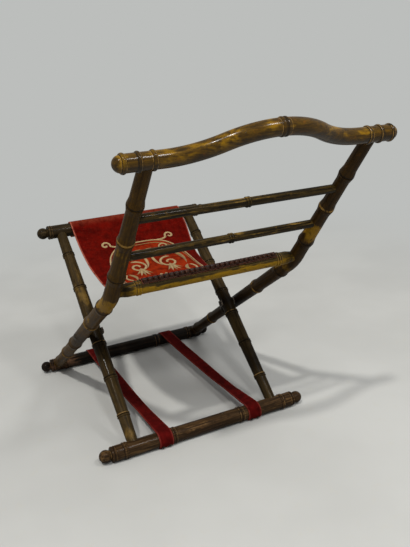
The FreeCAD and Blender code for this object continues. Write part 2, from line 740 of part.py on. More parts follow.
def sag_centre(front, front_radius, rear, rear_radius, sag_radius):
    """The middle of the sag's circle, which touches the front and the rear circle from above."""
    reach_a, reach_b = sag_radius + front_radius, sag_radius + rear_radius
    line = rear - front
    span = line.Length
    along = (reach_a**2 - reach_b**2 + span**2) / (2 * span)
    up = Vector(0, -line.z, line.y).normalize()
    return front + line.normalize() * along + up * math.sqrt(reach_a**2 - along**2)


def arc(centre, radius, start, end):
    """An arc of a circle in the side view between two bearings."""
    middle = on_circle(centre, radius, (start + end) / 2)
    return Part.Arc(on_circle(centre, radius, start), middle, on_circle(centre, radius, end)).toShape()


def radial(centre, start, end, degrees):
    """A straight edge along a circle's radius, from one distance to another."""
    return Part.makeLine(on_circle(centre, start, degrees), on_circle(centre, end, degrees))


def ribbon(front, front_radius, rear, rear_radius, sag_radius, wraps, thickness, x_low, x_high):
    """A band of cloth round the front of one bar, down in a sag and over the rear of the other.

    The radii are those of the band's middle, and wraps are the bearings where it starts and ends."""
    centre = sag_centre(front, front_radius, rear, rear_radius, sag_radius)
    leave, land = bearing(front, centre), bearing(rear, centre)
    sag_start, sag_end = leave + HALF_TURN, land + HALF_TURN
    half = thickness / 2
    upper = [
        arc(front, front_radius + half, wraps[0], leave),
        arc(centre, sag_radius - half, sag_start, sag_end),
        arc(rear, rear_radius + half, land, wraps[1]),
    ]
    lower = [
        arc(rear, rear_radius - half, wraps[1], land),
        arc(centre, sag_radius + half, sag_end, sag_start),
        arc(front, front_radius - half, leave, wraps[0]),
    ]
    rear_end = radial(rear, rear_radius + half, rear_radius - half, wraps[1])
    front_end = radial(front, front_radius - half, front_radius + half, wraps[0])
    face = Part.Face(Part.Wire(upper + [rear_end] + lower + [front_end]))
    face.translate(X_WAY * x_low)
    return face.extrude(X_WAY * (x_high - x_low))


def make_sling():
    """The velvet sling and the canvas lining under it, round the front bar and up over the rear rail."""
    half_width = value(SLING_WIDTH) / 2
    lining_off = size("cloth_gap") + size("lining_thickness") / 2
    velvet_off = CLOTH_RISE - size("velvet_thickness") / 2
    sag = size("sling_sag_radius")
    wraps = (SLING_START, SLING_END)
    for label, offset, thickness in (
        ("seat_sling", velvet_off, size("velvet_thickness")),
        ("seat_lining", lining_off, size("lining_thickness")),
    ):
        front, rear = size("seat_bar_radius") + offset, size("rear_rail_radius") + offset
        deep = sag + velvet_off - offset
        shape = ribbon(SEAT_BAR, front, REAR_RAIL, rear, deep, wraps, thickness, -half_width, half_width)
        new_feature(label, shape)


def strap_place(label):
    """How far a strap's middle lies from the chair's middle plane."""
    return value(LEG_SPACING) / 2 - size(f"strap_inset_{label}")


def make_straps():
    """Two velvet straps that hold the foot bars at their distance."""
    offset = size("cloth_gap") + size("strap_thickness") / 2
    radius = size("foot_bar_radius") + offset
    half = size("strap_width") / 2
    wraps = (UP_BEARING + size("strap_wrap_angle"), UP_BEARING - size("strap_wrap_angle"))
    for label, sign in SIDES:
        x_place = sign * strap_place(label)
        sag, thickness = size("strap_sag_radius"), size("strap_thickness")
        ends = (x_place - half, x_place + half)
        shape = ribbon(FRONT_FOOT, radius, REAR_FOOT, radius, sag, wraps, thickness, *ends)
        new_feature(f"{label}_strap", shape)


def dome(seat, way, radius, height):
    """A nail's domed head on a seat, rising along a direction."""
    ball = (radius**2 + height**2) / (2 * height)
    sphere = Part.makeSphere(ball, seat + way * (height - ball))
    return sphere.common(Part.makeCylinder(ball, ball, seat, way))


def row_places(length, pitch):
    """Even places along a length, at about a pitch."""
    count = max(int(length / pitch), 1)
    step = length / count
    return [-length / 2 + step * (i + HALF_SHARE) for i in range(count)]


def make_braid():
    """The braid over the sling's rear end and its row of domed nails."""
    inner = size("rear_rail_radius") + CLOTH_RISE + size("cloth_gap")
    outer = inner + size("braid_thickness")
    spread = math.degrees(size("braid_width") / 2 / inner)
    middle = SLING_END + spread
    half_width = value(SLING_WIDTH) / 2
    edges = [
        arc(REAR_RAIL, inner, middle - spread, middle + spread),
        radial(REAR_RAIL, inner, outer, middle + spread),
        arc(REAR_RAIL, outer, middle + spread, middle - spread),
        radial(REAR_RAIL, outer, inner, middle - spread),
    ]
    face = Part.Face(Part.Wire(edges))
    face.translate(X_WAY * -half_width)
    new_feature("seat_braid", face.extrude(X_WAY * value(SLING_WIDTH)))
    way = (on_circle(REAR_RAIL, outer, middle) - REAR_RAIL).normalize()
    seat = on_circle(REAR_RAIL, outer + size("cloth_gap"), middle)
    heads = [
        dome(seat + X_WAY * x, way, size("nail_radius"), size("nail_height"))
        for x in row_places(value(SLING_WIDTH), size("nail_pitch"))
    ]
    new_feature("braid_nails", Part.makeCompound(heads))


def make_tacks(label, bar, cloth_outside, bearing_degrees, x_places):
    """Flat-domed tack heads on a cloth's end, in a row along a bar."""
    seat = on_circle(bar, cloth_outside + size("cloth_gap"), bearing_degrees)
    way = (seat - bar).normalize()
    heads = [dome(seat + X_WAY * x, way, size("tack_radius"), size("tack_height")) for x in x_places]
    new_feature(label, Part.makeCompound(heads))


def make_all_tacks():
    """The tacks at the sling's front end and at the straps' ends."""
    outside = size("seat_bar_radius") + CLOTH_RISE
    inset = math.degrees(size("tack_inset") / outside)
    places = row_places(value(SLING_WIDTH), size("tack_pitch"))
    make_tacks("sling_tacks", SEAT_BAR, outside, SLING_START - inset, places)
    strap_outside = size("foot_bar_radius") + size("cloth_gap") + size("strap_thickness")
    bearing_up = size("strap_wrap_angle") - math.degrees(size("tack_inset") / strap_outside)
    spread = row_places(size("strap_width"), size("strap_width") / 2)
    places = [sign * strap_place(label) + x for label, sign in SIDES for x in spread]
    make_tacks("front_strap_tacks", FRONT_FOOT, strap_outside, UP_BEARING + bearing_up, places)
    make_tacks("rear_strap_tacks", REAR_FOOT, strap_outside, UP_BEARING - bearing_up, places)


for side_name, side_sign in SIDES:
    make_post(f"{side_name}_post", side_sign)
    make_leg(f"{side_name}_leg", side_sign)
make_top_rail()
make_slat("upper_slat", "upper_slat_climb")
make_slat("lower_slat", "lower_slat_climb")
make_rear_rail()
strap_rings = [STRAP_RING_PLACE]
make_bar(
    "front_foot_bar", FRONT_FOOT, LOWER_WAY, FOOT_BAR_LENGTH, "foot_bar_radius",
    strap_rings + ["Sizes.post_spacing / 2 - Sizes.outer_ring_offset"],
    of_sheet("post_spacing"), "post_foot_radius", stands=True,
)
make_bar(
    "rear_foot_bar", REAR_FOOT, LEG_WAY, FOOT_BAR_LENGTH, "foot_bar_radius",
    strap_rings + [f"{LEG_SPACING} / 2 + Sizes.outer_ring_offset"],
    LEG_SPACING, "leg_end_radius", stands=True,
)
make_bar(
    "front_seat_bar", SEAT_BAR, -LEG_WAY, SEAT_BAR_LENGTH, "seat_bar_radius",
    [], LEG_SPACING, "leg_end_radius",
)
for side_name, side_sign in SIDES:
    make_pivot(side_name, side_sign)
make_sling()
make_straps()
make_braid()
make_all_tacks()
doc.recompute()

# Every object has to be sound before anything is written
for thing in doc.Objects:
    if "Invalid" in thing.State or "Error" in thing.State:
        raise RuntimeError(f"{thing.Name} failed: {thing.State}")
os.makedirs("parts", exist_ok=True)
for part in sub_parts:
    if part.Shape.isNull() or not part.Shape.isValid():
        raise RuntimeError(f"{part.Label} has no valid shape")
for part in sub_parts:
    part.Shape.exportStep(f"parts/{part.Label}.step")
    print(part.Label, len(part.Shape.Solids), round(part.Shape.Volume))
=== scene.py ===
import math
from collections import namedtuple

import bpy
import numpy as np
from mathutils import Matrix, Vector


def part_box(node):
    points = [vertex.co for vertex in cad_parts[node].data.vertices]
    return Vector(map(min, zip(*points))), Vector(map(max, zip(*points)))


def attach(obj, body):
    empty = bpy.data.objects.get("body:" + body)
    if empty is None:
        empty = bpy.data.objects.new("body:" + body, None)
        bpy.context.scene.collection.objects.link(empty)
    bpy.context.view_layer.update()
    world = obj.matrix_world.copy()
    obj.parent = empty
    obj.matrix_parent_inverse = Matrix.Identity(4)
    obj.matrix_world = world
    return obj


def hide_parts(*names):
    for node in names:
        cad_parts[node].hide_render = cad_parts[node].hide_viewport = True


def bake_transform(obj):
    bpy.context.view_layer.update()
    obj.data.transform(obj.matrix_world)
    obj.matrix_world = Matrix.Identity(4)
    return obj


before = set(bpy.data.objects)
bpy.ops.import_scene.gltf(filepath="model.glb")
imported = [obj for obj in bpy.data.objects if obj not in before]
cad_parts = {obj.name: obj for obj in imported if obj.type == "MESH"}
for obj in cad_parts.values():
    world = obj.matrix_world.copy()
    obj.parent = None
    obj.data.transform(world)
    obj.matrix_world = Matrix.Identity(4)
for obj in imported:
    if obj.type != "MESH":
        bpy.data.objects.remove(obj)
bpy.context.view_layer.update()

# Camera, found by fitting the bars, posts and legs in the photograph (metres, radians, pixels)
IMAGE_SIZE = (410, 547)
FOCAL_PX = 651.82
CAMERA_PLACE = Vector((0.6205, 1.3829, 0.8881))
CAMERA_YAW, CAMERA_PITCH, CAMERA_ROLL = 0.4598, -0.3197, -0.0479
SENSOR = 36.0

# Sizes of the wood that the solids' boxes don't give, in metres
SEAT_BAR_RADIUS = 0.018
FOOT_BAR_RADIUS = 0.0186
REAR_RADIUS = 0.015
KNEE_DROP = 0.023
UPPER_LENGTH = 0.4128

# Cloth sizes, in metres; a sag is the radius of the curve in which a band hangs
CLOTH_GAP = 0.00035
SLING_HALF = 0.1658
SLING_SAG = 0.378
VELVET_THICK = 0.002
LINING_THICK = 0.001
LINING_WIDTH_SHARE = 0.994
STRAP_HALF = 0.018
STRAP_SAG = 4.6
STRAP_THICK = 0.0024
BRAID_WIDTH = 0.015
BRAID_THICK = 0.0012

# Where a band ends on its front and its rear bar, in degrees round them
SLING_WRAPS = (295.0, 38.0)
STRAP_WRAPS = (235.0, -55.0)


# The chair's main lines, read from the solids
def middle(node):
    low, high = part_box(node)
    return (low + high) / 2


def axis_of_bar(node):
    """The axis of a foot bar, whose underside is worn flat."""
    low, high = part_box(node)
    return Vector((0, (low.y + high.y) / 2, high.z - (high.y - low.y) / 2))


SEAT_BAR = middle("front_seat_bar")
REAR_RAIL = middle("rear_seat_rail")
FRONT_FOOT = axis_of_bar("front_foot_bar")
REAR_FOOT = axis_of_bar("rear_foot_bar")
UPPER_WAY = (middle("upper_slat") - middle("lower_slat")).normalized()
KNEE = REAR_RAIL - UPPER_WAY * KNEE_DROP
LOWER_WAY = (KNEE - FRONT_FOOT).normalized()
LOWER_LENGTH = (KNEE - FRONT_FOOT).length
LEG_WAY = (SEAT_BAR - REAR_FOOT).normalized()
LEG_LENGTH = (SEAT_BAR - REAR_FOOT).length
POST_X = middle("left_post").x
LEG_X = middle("left_leg").x


# Shader helpers
def tone(red, green, blue):
    """A colour given in display values from 0 to 255."""
    parts = [c / 255 for c in (red, green, blue)]
    return tuple(c / 12.92 if c <= 0.04045 else ((c + 0.055) / 1.055) ** 2.4 for c in parts) + (1.0,)


class Graph:
    """A node tree, with short calls for the nodes used here."""

    def __init__(self, tree):
        self.tree = tree

    def feed(self, socket, given):
        if isinstance(given, bpy.types.NodeSocket):
            self.tree.links.new(given, socket)
        else:
            socket.default_value = given

    def node(self, kind, *inputs, **settings):
        made = self.tree.nodes.new(kind)
        for name, setting in settings.items():
            setattr(made, name, setting)
        for socket, given in zip(made.inputs, inputs):
            if given is not None:
                self.feed(socket, given)
        return made

    def math(self, operation, first, second=0.0, third=0.0):
        return self.node("ShaderNodeMath", first, second, third, operation=operation).outputs[0]

    def times(self, *factors):
        product = factors[0]
        for factor in factors[1:]:
            product = self.math("MULTIPLY", product, factor)
        return product

    def plus(self, *terms):
        total = terms[0]
        for term in terms[1:]:
            total = self.math("ADD", total, term)
        return total

    def distance(self, value, place):
        return self.math("ABSOLUTE", self.math("SUBTRACT", value, place))

    def vector(self, operation, *inputs):
        made = self.node("ShaderNodeVectorMath", *inputs, operation=operation)
        return made.outputs["Value" if operation in ("DOT_PRODUCT", "LENGTH") else "Vector"]

    def coordinates(self, kind):
        return self.node("ShaderNodeTexCoord").outputs[kind]

    def split(self, vector):
        return self.node("ShaderNodeSeparateXYZ", vector).outputs

    def flat(self, u, v):
        return self.node("ShaderNodeCombineXYZ", u, v, 0.0).outputs[0]

    def scaled(self, vector, x, y, z):
        return self.vector("MULTIPLY", vector, (x, y, z))

    def noise(self, vector, scale=1.0, detail=3.0, rough=0.5, warp=0.0):
        made = self.node("ShaderNodeTexNoise")
        names = ("Vector", "Scale", "Detail", "Roughness", "Distortion")
        for name, given in zip(names, (vector, scale, detail, rough, warp)):
            self.feed(made.inputs[name], given)
        return made.outputs["Fac"]

    def steps(self, factor, low, high):
        """0 at low, 1 at high, smooth between and level outside; low may be the larger one."""
        made = self.node("ShaderNodeMapRange", factor, low, high, interpolation_type="SMOOTHSTEP")
        return made.outputs["Result"]

    def mix(self, factor, first, second):
        made = self.node("ShaderNodeMix", data_type="RGBA")
        for socket, given in ((made.inputs[0], factor), (made.inputs[6], first), (made.inputs[7], second)):
            self.feed(socket, given)
        return made.outputs[2]

    def toward(self, colour, other, *factors):
        """A colour mixed towards another by the product of some factors."""
        return self.mix(self.times(*factors), colour, other)

    def choose(self, factor, first, second):
        made = self.node("ShaderNodeMix", data_type="VECTOR")
        for socket, given in ((made.inputs[0], factor), (made.inputs[4], first), (made.inputs[5], second)):
            self.feed(socket, given)
        return made.outputs[1]

    def ramp(self, factor, stops, interpolation="LINEAR"):
        made = self.node("ShaderNodeValToRGB", factor)
        made.color_ramp.interpolation = interpolation
        places = made.color_ramp.elements
        while len(places) < len(stops):
            places.new(0.5)
        for element, (at, level) in zip(places, stops):
            element.position = at
            element.color = (level, level, level, 1.0)
        return made.outputs[0]

    def seen(self):
        """1 for rays from the camera, a glossy surface or glass, 0 for rays that only bring light."""
        paths = self.node("ShaderNodeLightPath").outputs
        mirrored = self.math("MAXIMUM", paths["Is Glossy Ray"], paths["Is Transmission Ray"])
        return self.math("MAXIMUM", paths["Is Camera Ray"], mirrored)


class Surface(Graph):
    """A new material's node tree with its shader."""

    def __init__(self, name):
        self.material = bpy.data.materials.new(name)
        self.material.use_nodes = True
        super().__init__(self.material.node_tree)
        self.shader = self.tree.nodes["Principled BSDF"]

    def set(self, **inputs):
        for name, given in inputs.items():
            self.feed(self.shader.inputs[name.replace("_", " ")], given)

    def bump(self, height, strength, distance):
        made = self.node("ShaderNodeBump")
        for name, given in (("Strength", strength), ("Distance", distance), ("Height", height)):
            self.feed(made.inputs[name], given)
        self.set(Normal=made.outputs[0])


def dress(node, material):
    """Gives a solid of the frame its material."""
    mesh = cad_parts[node].data
    mesh.materials.clear()
    mesh.materials.append(material)


def cover(material, made):
    """Gives a piece of this script its material."""
    made.data.materials.append(material)


# Wood colours, the tones of a member being its dark, middle, gold and accent
DARK_AND_SHADE_TONE = (11, 7, 4)
UNDERSIDE_SHADE_TONE = (14, 9, 5)
SPECK = (16, 10, 5)
GROOVE = (12, 8, 5)
RING_WEAR_AND_HIGHLIGHT = (158, 124, 78)
RAIL_TONES = ((46, 30, 1), (94, 66, 1), (138, 101, 3), (116, 70, 2))
LEFT_POST_TONES = ((45, 28, 4), (87, 61, 10), (146, 108, 16), (101, 69, 12))
RIGHT_POST_TONES = ((30, 19, 5), (64, 44, 13), (146, 108, 22), (88, 54, 14))
LEG_TONES = ((34, 26, 13), (76, 60, 33), (108, 84, 40), (88, 67, 33))
SEAT_BAR_TONES = ((30, 23, 13), (62, 50, 31), (96, 77, 45), (76, 59, 34))
REAR_BAR_TONES = ((38, 26, 14), (78, 57, 34), (110, 83, 50), (92, 64, 36))
FRONT_BAR_TONES = ((13, 9, 6), (33, 24, 15), (94, 68, 50), (50, 33, 21))
SLAT_TONES = ((24, 18, 8), (68, 53, 22), (150, 118, 54), (100, 74, 28))
REAR_RAIL_TONES = ((42, 34, 18), (76, 62, 32), (146, 110, 18), (120, 84, 16))

# Worn patches, and dark ones: painted shade where legs and posts cross, the right leg darker low on its
# run, the rear rail darker at its ends; place and half length as shares of the member's length, and amount
RAIL_GLOW = ((0.55, 0.04, 0.16), (0.66, 0.06, 0.18), (0.84, 0.08, 0.12), (0.975, 0.022, 0.34))
LEFT_POST_GLOW = ((0.61, 0.045, 0.44),)
LEFT_POST_CROSSING_SHADE = ((0.338, 0.07, 0.55),)
RIGHT_POST_GLOW = ((0.61, 0.045, 0.24), (0.742, 0.034, 0.5))
RIGHT_POST_CROSSING_SHADE = ((0.338, 0.13, 0.95),)
LEFT_LEG_GLOW = ((0.05, 0.045, 0.2), (0.64, 0.09, 0.26), (0.83, 0.1, 0.08))
LEFT_LEG_CROSSING_SHADE = ((0.45, 0.15, 0.85),)
RIGHT_LEG_GLOW = ((0.05, 0.045, 0.2), (0.64, 0.09, 0.14), (0.83, 0.1, 0.08))
RIGHT_LEG_DARK_AND_CROSSING_SHADE = ((0.2, 0.18, 0.85), (0.49, 0.11, 0.95))
FRONT_BAR_GLOW = ((0.88, 0.12, 0.6),)
REAR_RAIL_DARK_ENDS = ((0.05, 0.06, 0.9), (0.95, 0.06, 0.9))

# Ring lines: groove is half the width of the dark line, line the width of the pale one beside it, which is
# worn wood and a painted highlight on the ring's edge
Rings = namedtuple("Rings", "places length groove line from_middle")
POST_LOWER_SHARES = (0.075, 0.25, 0.42, 0.715, 0.913)
POST_UPPER_SHARES = (0.205, 0.485, 0.735)
LEG_SHARES = (0.13, 0.288, 0.435, 0.55, 0.703, 0.87)
POST_GROOVE, POST_LINE = 0.0011, 0.0016
LEG_GROOVE, LEG_LINE = 0.0009, 0.0014
BAR_GROOVE, BAR_LINE = 0.0006, 0.0009
MIDDLE_LINE_AT = 0.0007
RAIL_SOOT_HALF_SHARE, RAIL_SOOT = 0.012, 0.6

# A bar's rings: distance from its middle and half width; a double ring has a line between its two halves
DOUBLE = 0.006
REAR_RAIL_RINGS = ((0.1738, DOUBLE),)
SEAT_BAR_RINGS = ((0.2233, DOUBLE),)
FRONT_BAR_RINGS = ((0.0928, DOUBLE), (0.206, DOUBLE), (0.2464, DOUBLE))
REAR_BAR_RINGS = ((0.0928, DOUBLE), (0.2174, DOUBLE), (0.2464, DOUBLE))
RAIL_RINGS = ((0.0, 0.0076), (0.2195, 0.0038), (0.246, 0.0038), (0.2728, 0.004))
SLAT_RING_OFFSET, SLAT_RING_HALF = 0.011, 0.0056


def member_place(g, start, way, offset=0.0):
    """Places in a member's own axes: x runs along it, counted from its start."""
    across = Vector((1, 0, 0)) if abs(way.x) < 0.9 else Vector((0, 0, 1))
    turn = Matrix((way, across, way.cross(across).normalized()))
    shift = -(turn @ start) + Vector((offset, 0, 0))
    return g.node("ShaderNodeMapping", g.coordinates("Object"), tuple(shift), turn.to_euler()).outputs[0]


def straight(start, way):
    """Places along a straight member."""
    return lambda g: member_place(g, start, way)


def bent_post(side):
    """Places along a post: up the lower run to the knee, then on along the upper run."""

    def place(g):
        foot, knee = FRONT_FOOT + Vector((side, 0, 0)), KNEE + Vector((side, 0, 0))
        lower = member_place(g, foot, LOWER_WAY)
        upper = member_place(g, knee, UPPER_WAY, LOWER_LENGTH)
        from_knee = g.vector("SUBTRACT", g.coordinates("Object"), tuple(knee))
        past = g.vector("DOT_PRODUCT", from_knee, tuple(LOWER_WAY + UPPER_WAY))
        return g.choose(g.math("GREATER_THAN", past, 0.0), lower, upper)

    return place


def ring_stops(rings):
    """Stops of a ramp that is 0 in a groove, 1 on a pale line beside it, worn and with a painted highlight,
    and a half elsewhere.
    """
    stops = [(0.0, 0.5)]
    for at in sorted(rings.places):
        levels = ((at - rings.groove, 0.0), (at + rings.groove, 1.0), (at + rings.groove + rings.line, 0.5))
        stops += [(place / rings.length, level) for place, level in levels]
    return stops


def patch_stops(patches):
    """Stops of a ramp that rises to each patch's amount and falls again."""
    stops = [(0.0, 0.0)]
    for at, half, amount in patches:
        stops += [(at - half, 0.0), (at, amount), (at + half, 0.0)]
    return stops


def wood(name, place, tones, rings, seed, gold_share, gloss, glow=(), soot=(), gold_below=0.0,
         contrast=1.0, coat_rough=0.12, grimy=0.72):
    """Old varnished wood with a streaked grain, golden patches, specks, ring lines worn pale with a painted
    highlight, and painted shade on its underside, in patches.

    glow lists the patches that are worn most; the list after it holds the dark patches, painted shade where
    legs and posts cross among them."""
    g = Surface(name)
    spot = place(g)
    along, height_in, _ = g.split(spot)
    share = g.math("DIVIDE", along, 2 * rings.length if rings.from_middle else rings.length)
    moved = g.vector("ADD", spot, (seed, seed * 0.7, seed * 0.3))
    dark, mid, gold, accent = (tone(*c) for c in tones)
    grain = g.noise(g.scaled(moved, 9.0, 210.0, 210.0), detail=4.0, rough=0.6, warp=0.3)
    fine = g.noise(g.scaled(moved, 45.0, 900.0, 900.0), detail=2.0)
    patch = g.noise(g.scaled(moved, 14.0, 34.0, 34.0), detail=3.0, rough=0.55, warp=0.6)
    blot = g.noise(g.scaled(moved, 70.0, 120.0, 120.0), detail=3.0, rough=0.6)
    speck = g.noise(g.scaled(moved, 330.0, 520.0, 520.0), detail=2.0)

    worn = g.plus(patch, g.times(g.math("SUBTRACT", grain, 0.5), 0.55 * contrast))
    if glow:
        worn = g.plus(worn, g.ramp(share, patch_stops(glow)))
    if gold_below:
        worn = g.plus(worn, g.times(g.steps(height_in, 0.006, -0.004), gold_below))
    colour = g.toward(dark, mid, g.steps(grain, 0.5 - 0.16 / contrast, 0.5 + 0.18 / contrast))
    colour = g.toward(colour, gold, g.steps(worn, 0.74 - gold_share * 0.4, 0.94 - gold_share * 0.4))
    colour = g.toward(colour, accent, g.steps(blot, 0.58, 0.72), 0.5)
    colour = g.toward(colour, dark, g.steps(blot, 0.48, 0.3), 0.65)
    colour = g.toward(colour, tone(*SPECK), g.steps(speck, 0.62, 0.74), 0.6)
    colour = g.toward(colour, dark, g.steps(fine, 0.35, 0.6), 0.2)
    # Dark patches: painted shade where legs and posts cross, and darker wood elsewhere
    if soot:
        colour = g.toward(colour, tone(*DARK_AND_SHADE_TONE), g.ramp(share, patch_stops(soot)))
    # Painted shade: wood that faces down turns dark, in patches
    facing_up = g.split(g.coordinates("Normal"))[2]
    colour = g.toward(colour, tone(*UNDERSIDE_SHADE_TONE), g.steps(facing_up, 0.45, -0.7), g.steps(patch, 0.2, 0.5), grimy)

    if rings.from_middle:
        along = g.distance(along, rings.length)
    level = g.ramp(g.math("DIVIDE", along, rings.length), ring_stops(rings), "CONSTANT")
    # Pale line beside each groove: worn wood and a painted highlight
    edge = g.mix(0.5, gold, tone(*RING_WEAR_AND_HIGHLIGHT))
    colour = g.toward(colour, edge, g.steps(level, 0.6, 0.9), g.steps(blot, 0.34, 0.56), 0.6)
    colour = g.toward(colour, tone(*GROOVE), g.steps(level, 0.4, 0.1), 0.7)
    g.set(Base_Color=colour, Specular_IOR_Level=0.04, Coat_Weight=gloss, Coat_Roughness=coat_rough)
    g.set(Roughness=g.plus(g.times(blot, 0.3), 0.36))
    g.bump(g.plus(g.times(grain, 0.6), g.times(blot, 0.7)), strength=0.22, distance=0.0006)
    return g.material


def dress_post(side, sign, tones, seed, **wear):
    """A post's wood, whose rings are counted from its foot."""
    joints = [LOWER_LENGTH * share for share in POST_LOWER_SHARES]
    joints += [LOWER_LENGTH + UPPER_LENGTH * share for share in POST_UPPER_SHARES]
    rings = Rings(joints, LOWER_LENGTH + UPPER_LENGTH, POST_GROOVE, POST_LINE, from_middle=False)
    dress(f"{side}_post", wood(
        f"{side} post wood", bent_post(sign * POST_X), tones, rings, seed,
        gold_share=0.22, gloss=0.06, contrast=0.5, coat_rough=0.26, grimy=0.3, **wear,
    ))


def dress_leg(side, sign, seed, **wear):
    """A leg's wood, whose rings are counted from its foot."""
    joints = [LEG_LENGTH * share for share in LEG_SHARES]
    rings = Rings(joints, LEG_LENGTH, LEG_GROOVE, LEG_LINE, from_middle=False)
    place = straight(REAR_FOOT + Vector((sign * LEG_X, 0, 0)), LEG_WAY)
    dress(f"{side}_leg", wood(
        f"{side} leg wood", place, LEG_TONES, rings, seed, gloss=0.05, contrast=0.6, **wear,
    ))


def bar_length(node):
    low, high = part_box(node)
    return high.x - low.x


def bar_rings(node, rings):
    """Dark lines beside and between a bar's rings, counted from the bar's middle."""
    lines = []
    for at, half in rings:
        lines += [at - half, at + half] if at else [MIDDLE_LINE_AT, half]
        if at and half == DOUBLE:
            lines.append(at)
    return Rings(lines, bar_length(node) / 2, BAR_GROOVE, BAR_LINE, from_middle=True)


def slat_rings(node):
    """Lines of a slat's ring, which sits beside its middle."""
    ring = bar_length(node) / 2 - SLAT_RING_OFFSET
    lines = [ring - SLAT_RING_HALF, ring, ring + SLAT_RING_HALF]
    return Rings(lines, bar_length(node), BAR_GROOVE, BAR_LINE, from_middle=False)


def dress_bar(node, tones, rings, seed, **wear):
    """The wood of a bar, rail or slat, which runs along x."""
    low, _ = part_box(node)
    place = straight(Vector((low.x, middle(node).y, middle(node).z)), Vector((1, 0, 0)))
    dress(node, wood(node.replace("_", " ") + " wood", place, tones, rings, seed, **wear))


def rail_soot():
    """Dirt in the corners of the top rail's rings."""
    places = sorted({sign * at for at, _ in RAIL_RINGS for sign in (1, -1)})
    return [(0.5 + at / bar_length("top_rail"), RAIL_SOOT_HALF_SHARE, RAIL_SOOT) for at in places]


# The posts' and legs' dark patches are painted shade where they cross
dress_post("left", 1, LEFT_POST_TONES, seed=1.11, glow=LEFT_POST_GLOW, soot=LEFT_POST_CROSSING_SHADE)
dress_post("right", -1, RIGHT_POST_TONES, seed=0.37, glow=RIGHT_POST_GLOW, soot=RIGHT_POST_CROSSING_SHADE)
dress_leg("left", 1, seed=1.32, gold_share=0.26, glow=LEFT_LEG_GLOW, soot=LEFT_LEG_CROSSING_SHADE)
dress_leg("right", -1, seed=0.58, gold_share=0.14, glow=RIGHT_LEG_GLOW, soot=RIGHT_LEG_DARK_AND_CROSSING_SHADE)
dress_bar(
    "rear_seat_rail", REAR_RAIL_TONES, bar_rings("rear_seat_rail", REAR_RAIL_RINGS), seed=0.9,
    gold_share=0.4, gloss=0.06, gold_below=0.42, soot=REAR_RAIL_DARK_ENDS, grimy=0.25,
)
dress_bar(
    "front_seat_bar", SEAT_BAR_TONES, bar_rings("front_seat_bar", SEAT_BAR_RINGS), seed=0.5,
    gold_share=0.25, gloss=0.06,
)
dress_bar(
    "front_foot_bar", FRONT_BAR_TONES, bar_rings("front_foot_bar", FRONT_BAR_RINGS), seed=1.3,
    gold_share=0.2, gloss=0.08, glow=FRONT_BAR_GLOW,
)
dress_bar(
    "rear_foot_bar", REAR_BAR_TONES, bar_rings("rear_foot_bar", REAR_BAR_RINGS), seed=1.7,
    gold_share=0.45, gloss=0.08,
)
dress_bar(
    "top_rail", RAIL_TONES, bar_rings("top_rail", RAIL_RINGS), seed=0.15,
    gold_share=0.5, gloss=0.36, glow=RAIL_GLOW, soot=rail_soot(), contrast=0.6, coat_rough=0.17,
)
for node, seed, gold_share in (("upper_slat", 2.1, 0.34), ("lower_slat", 2.6, 0.42)):
    dress_bar(node, SLAT_TONES, slat_rings(node), seed, gold_share=gold_share, gloss=0.12, contrast=1.5)


# Metal
def metal(name, dark, light, rough, metallic, shine=0.5):
    """Old metal: dark with lighter rubbed spots."""
    g = Surface(name)
    spot = g.coordinates("Object")
    rub = g.noise(spot, 320.0, detail=4.0, rough=0.6)
    pit = g.noise(spot, 1400.0, detail=2.0)
    g.set(Base_Color=g.toward(tone(*dark), tone(*light), g.steps(rub, 0.4, 0.7)))
    g.set(Metallic=metallic, Specular_IOR_Level=shine, Roughness=g.plus(g.times(rub, 0.3), rough))
    g.bump(g.plus(pit, rub), strength=0.3, distance=0.0003)
    return g.material


pivot_iron = metal("pivot iron", (36, 30, 25), (92, 82, 70), rough=0.35, metallic=0.8)
tack_iron = metal("tack iron", (30, 25, 22), (78, 68, 58), rough=0.4, metallic=0.8)
dark_nails = metal("dark nails", (24, 9, 3), (72, 35, 14), rough=0.2, metallic=0.0, shine=0.22)
for side in ("left", "right"):
    for piece in ("bolt", "washer", "nut"):
        dress(f"{side}_pivot_{piece}", pivot_iron)
for node in ("sling_tacks", "front_strap_tacks", "rear_strap_tacks"):
    dress(node, tack_iron)
dress("braid_nails", dark_nails)


# Cloth materials
Cartouche = namedtuple("Cartouche", "centre half_x half_s power dark light")


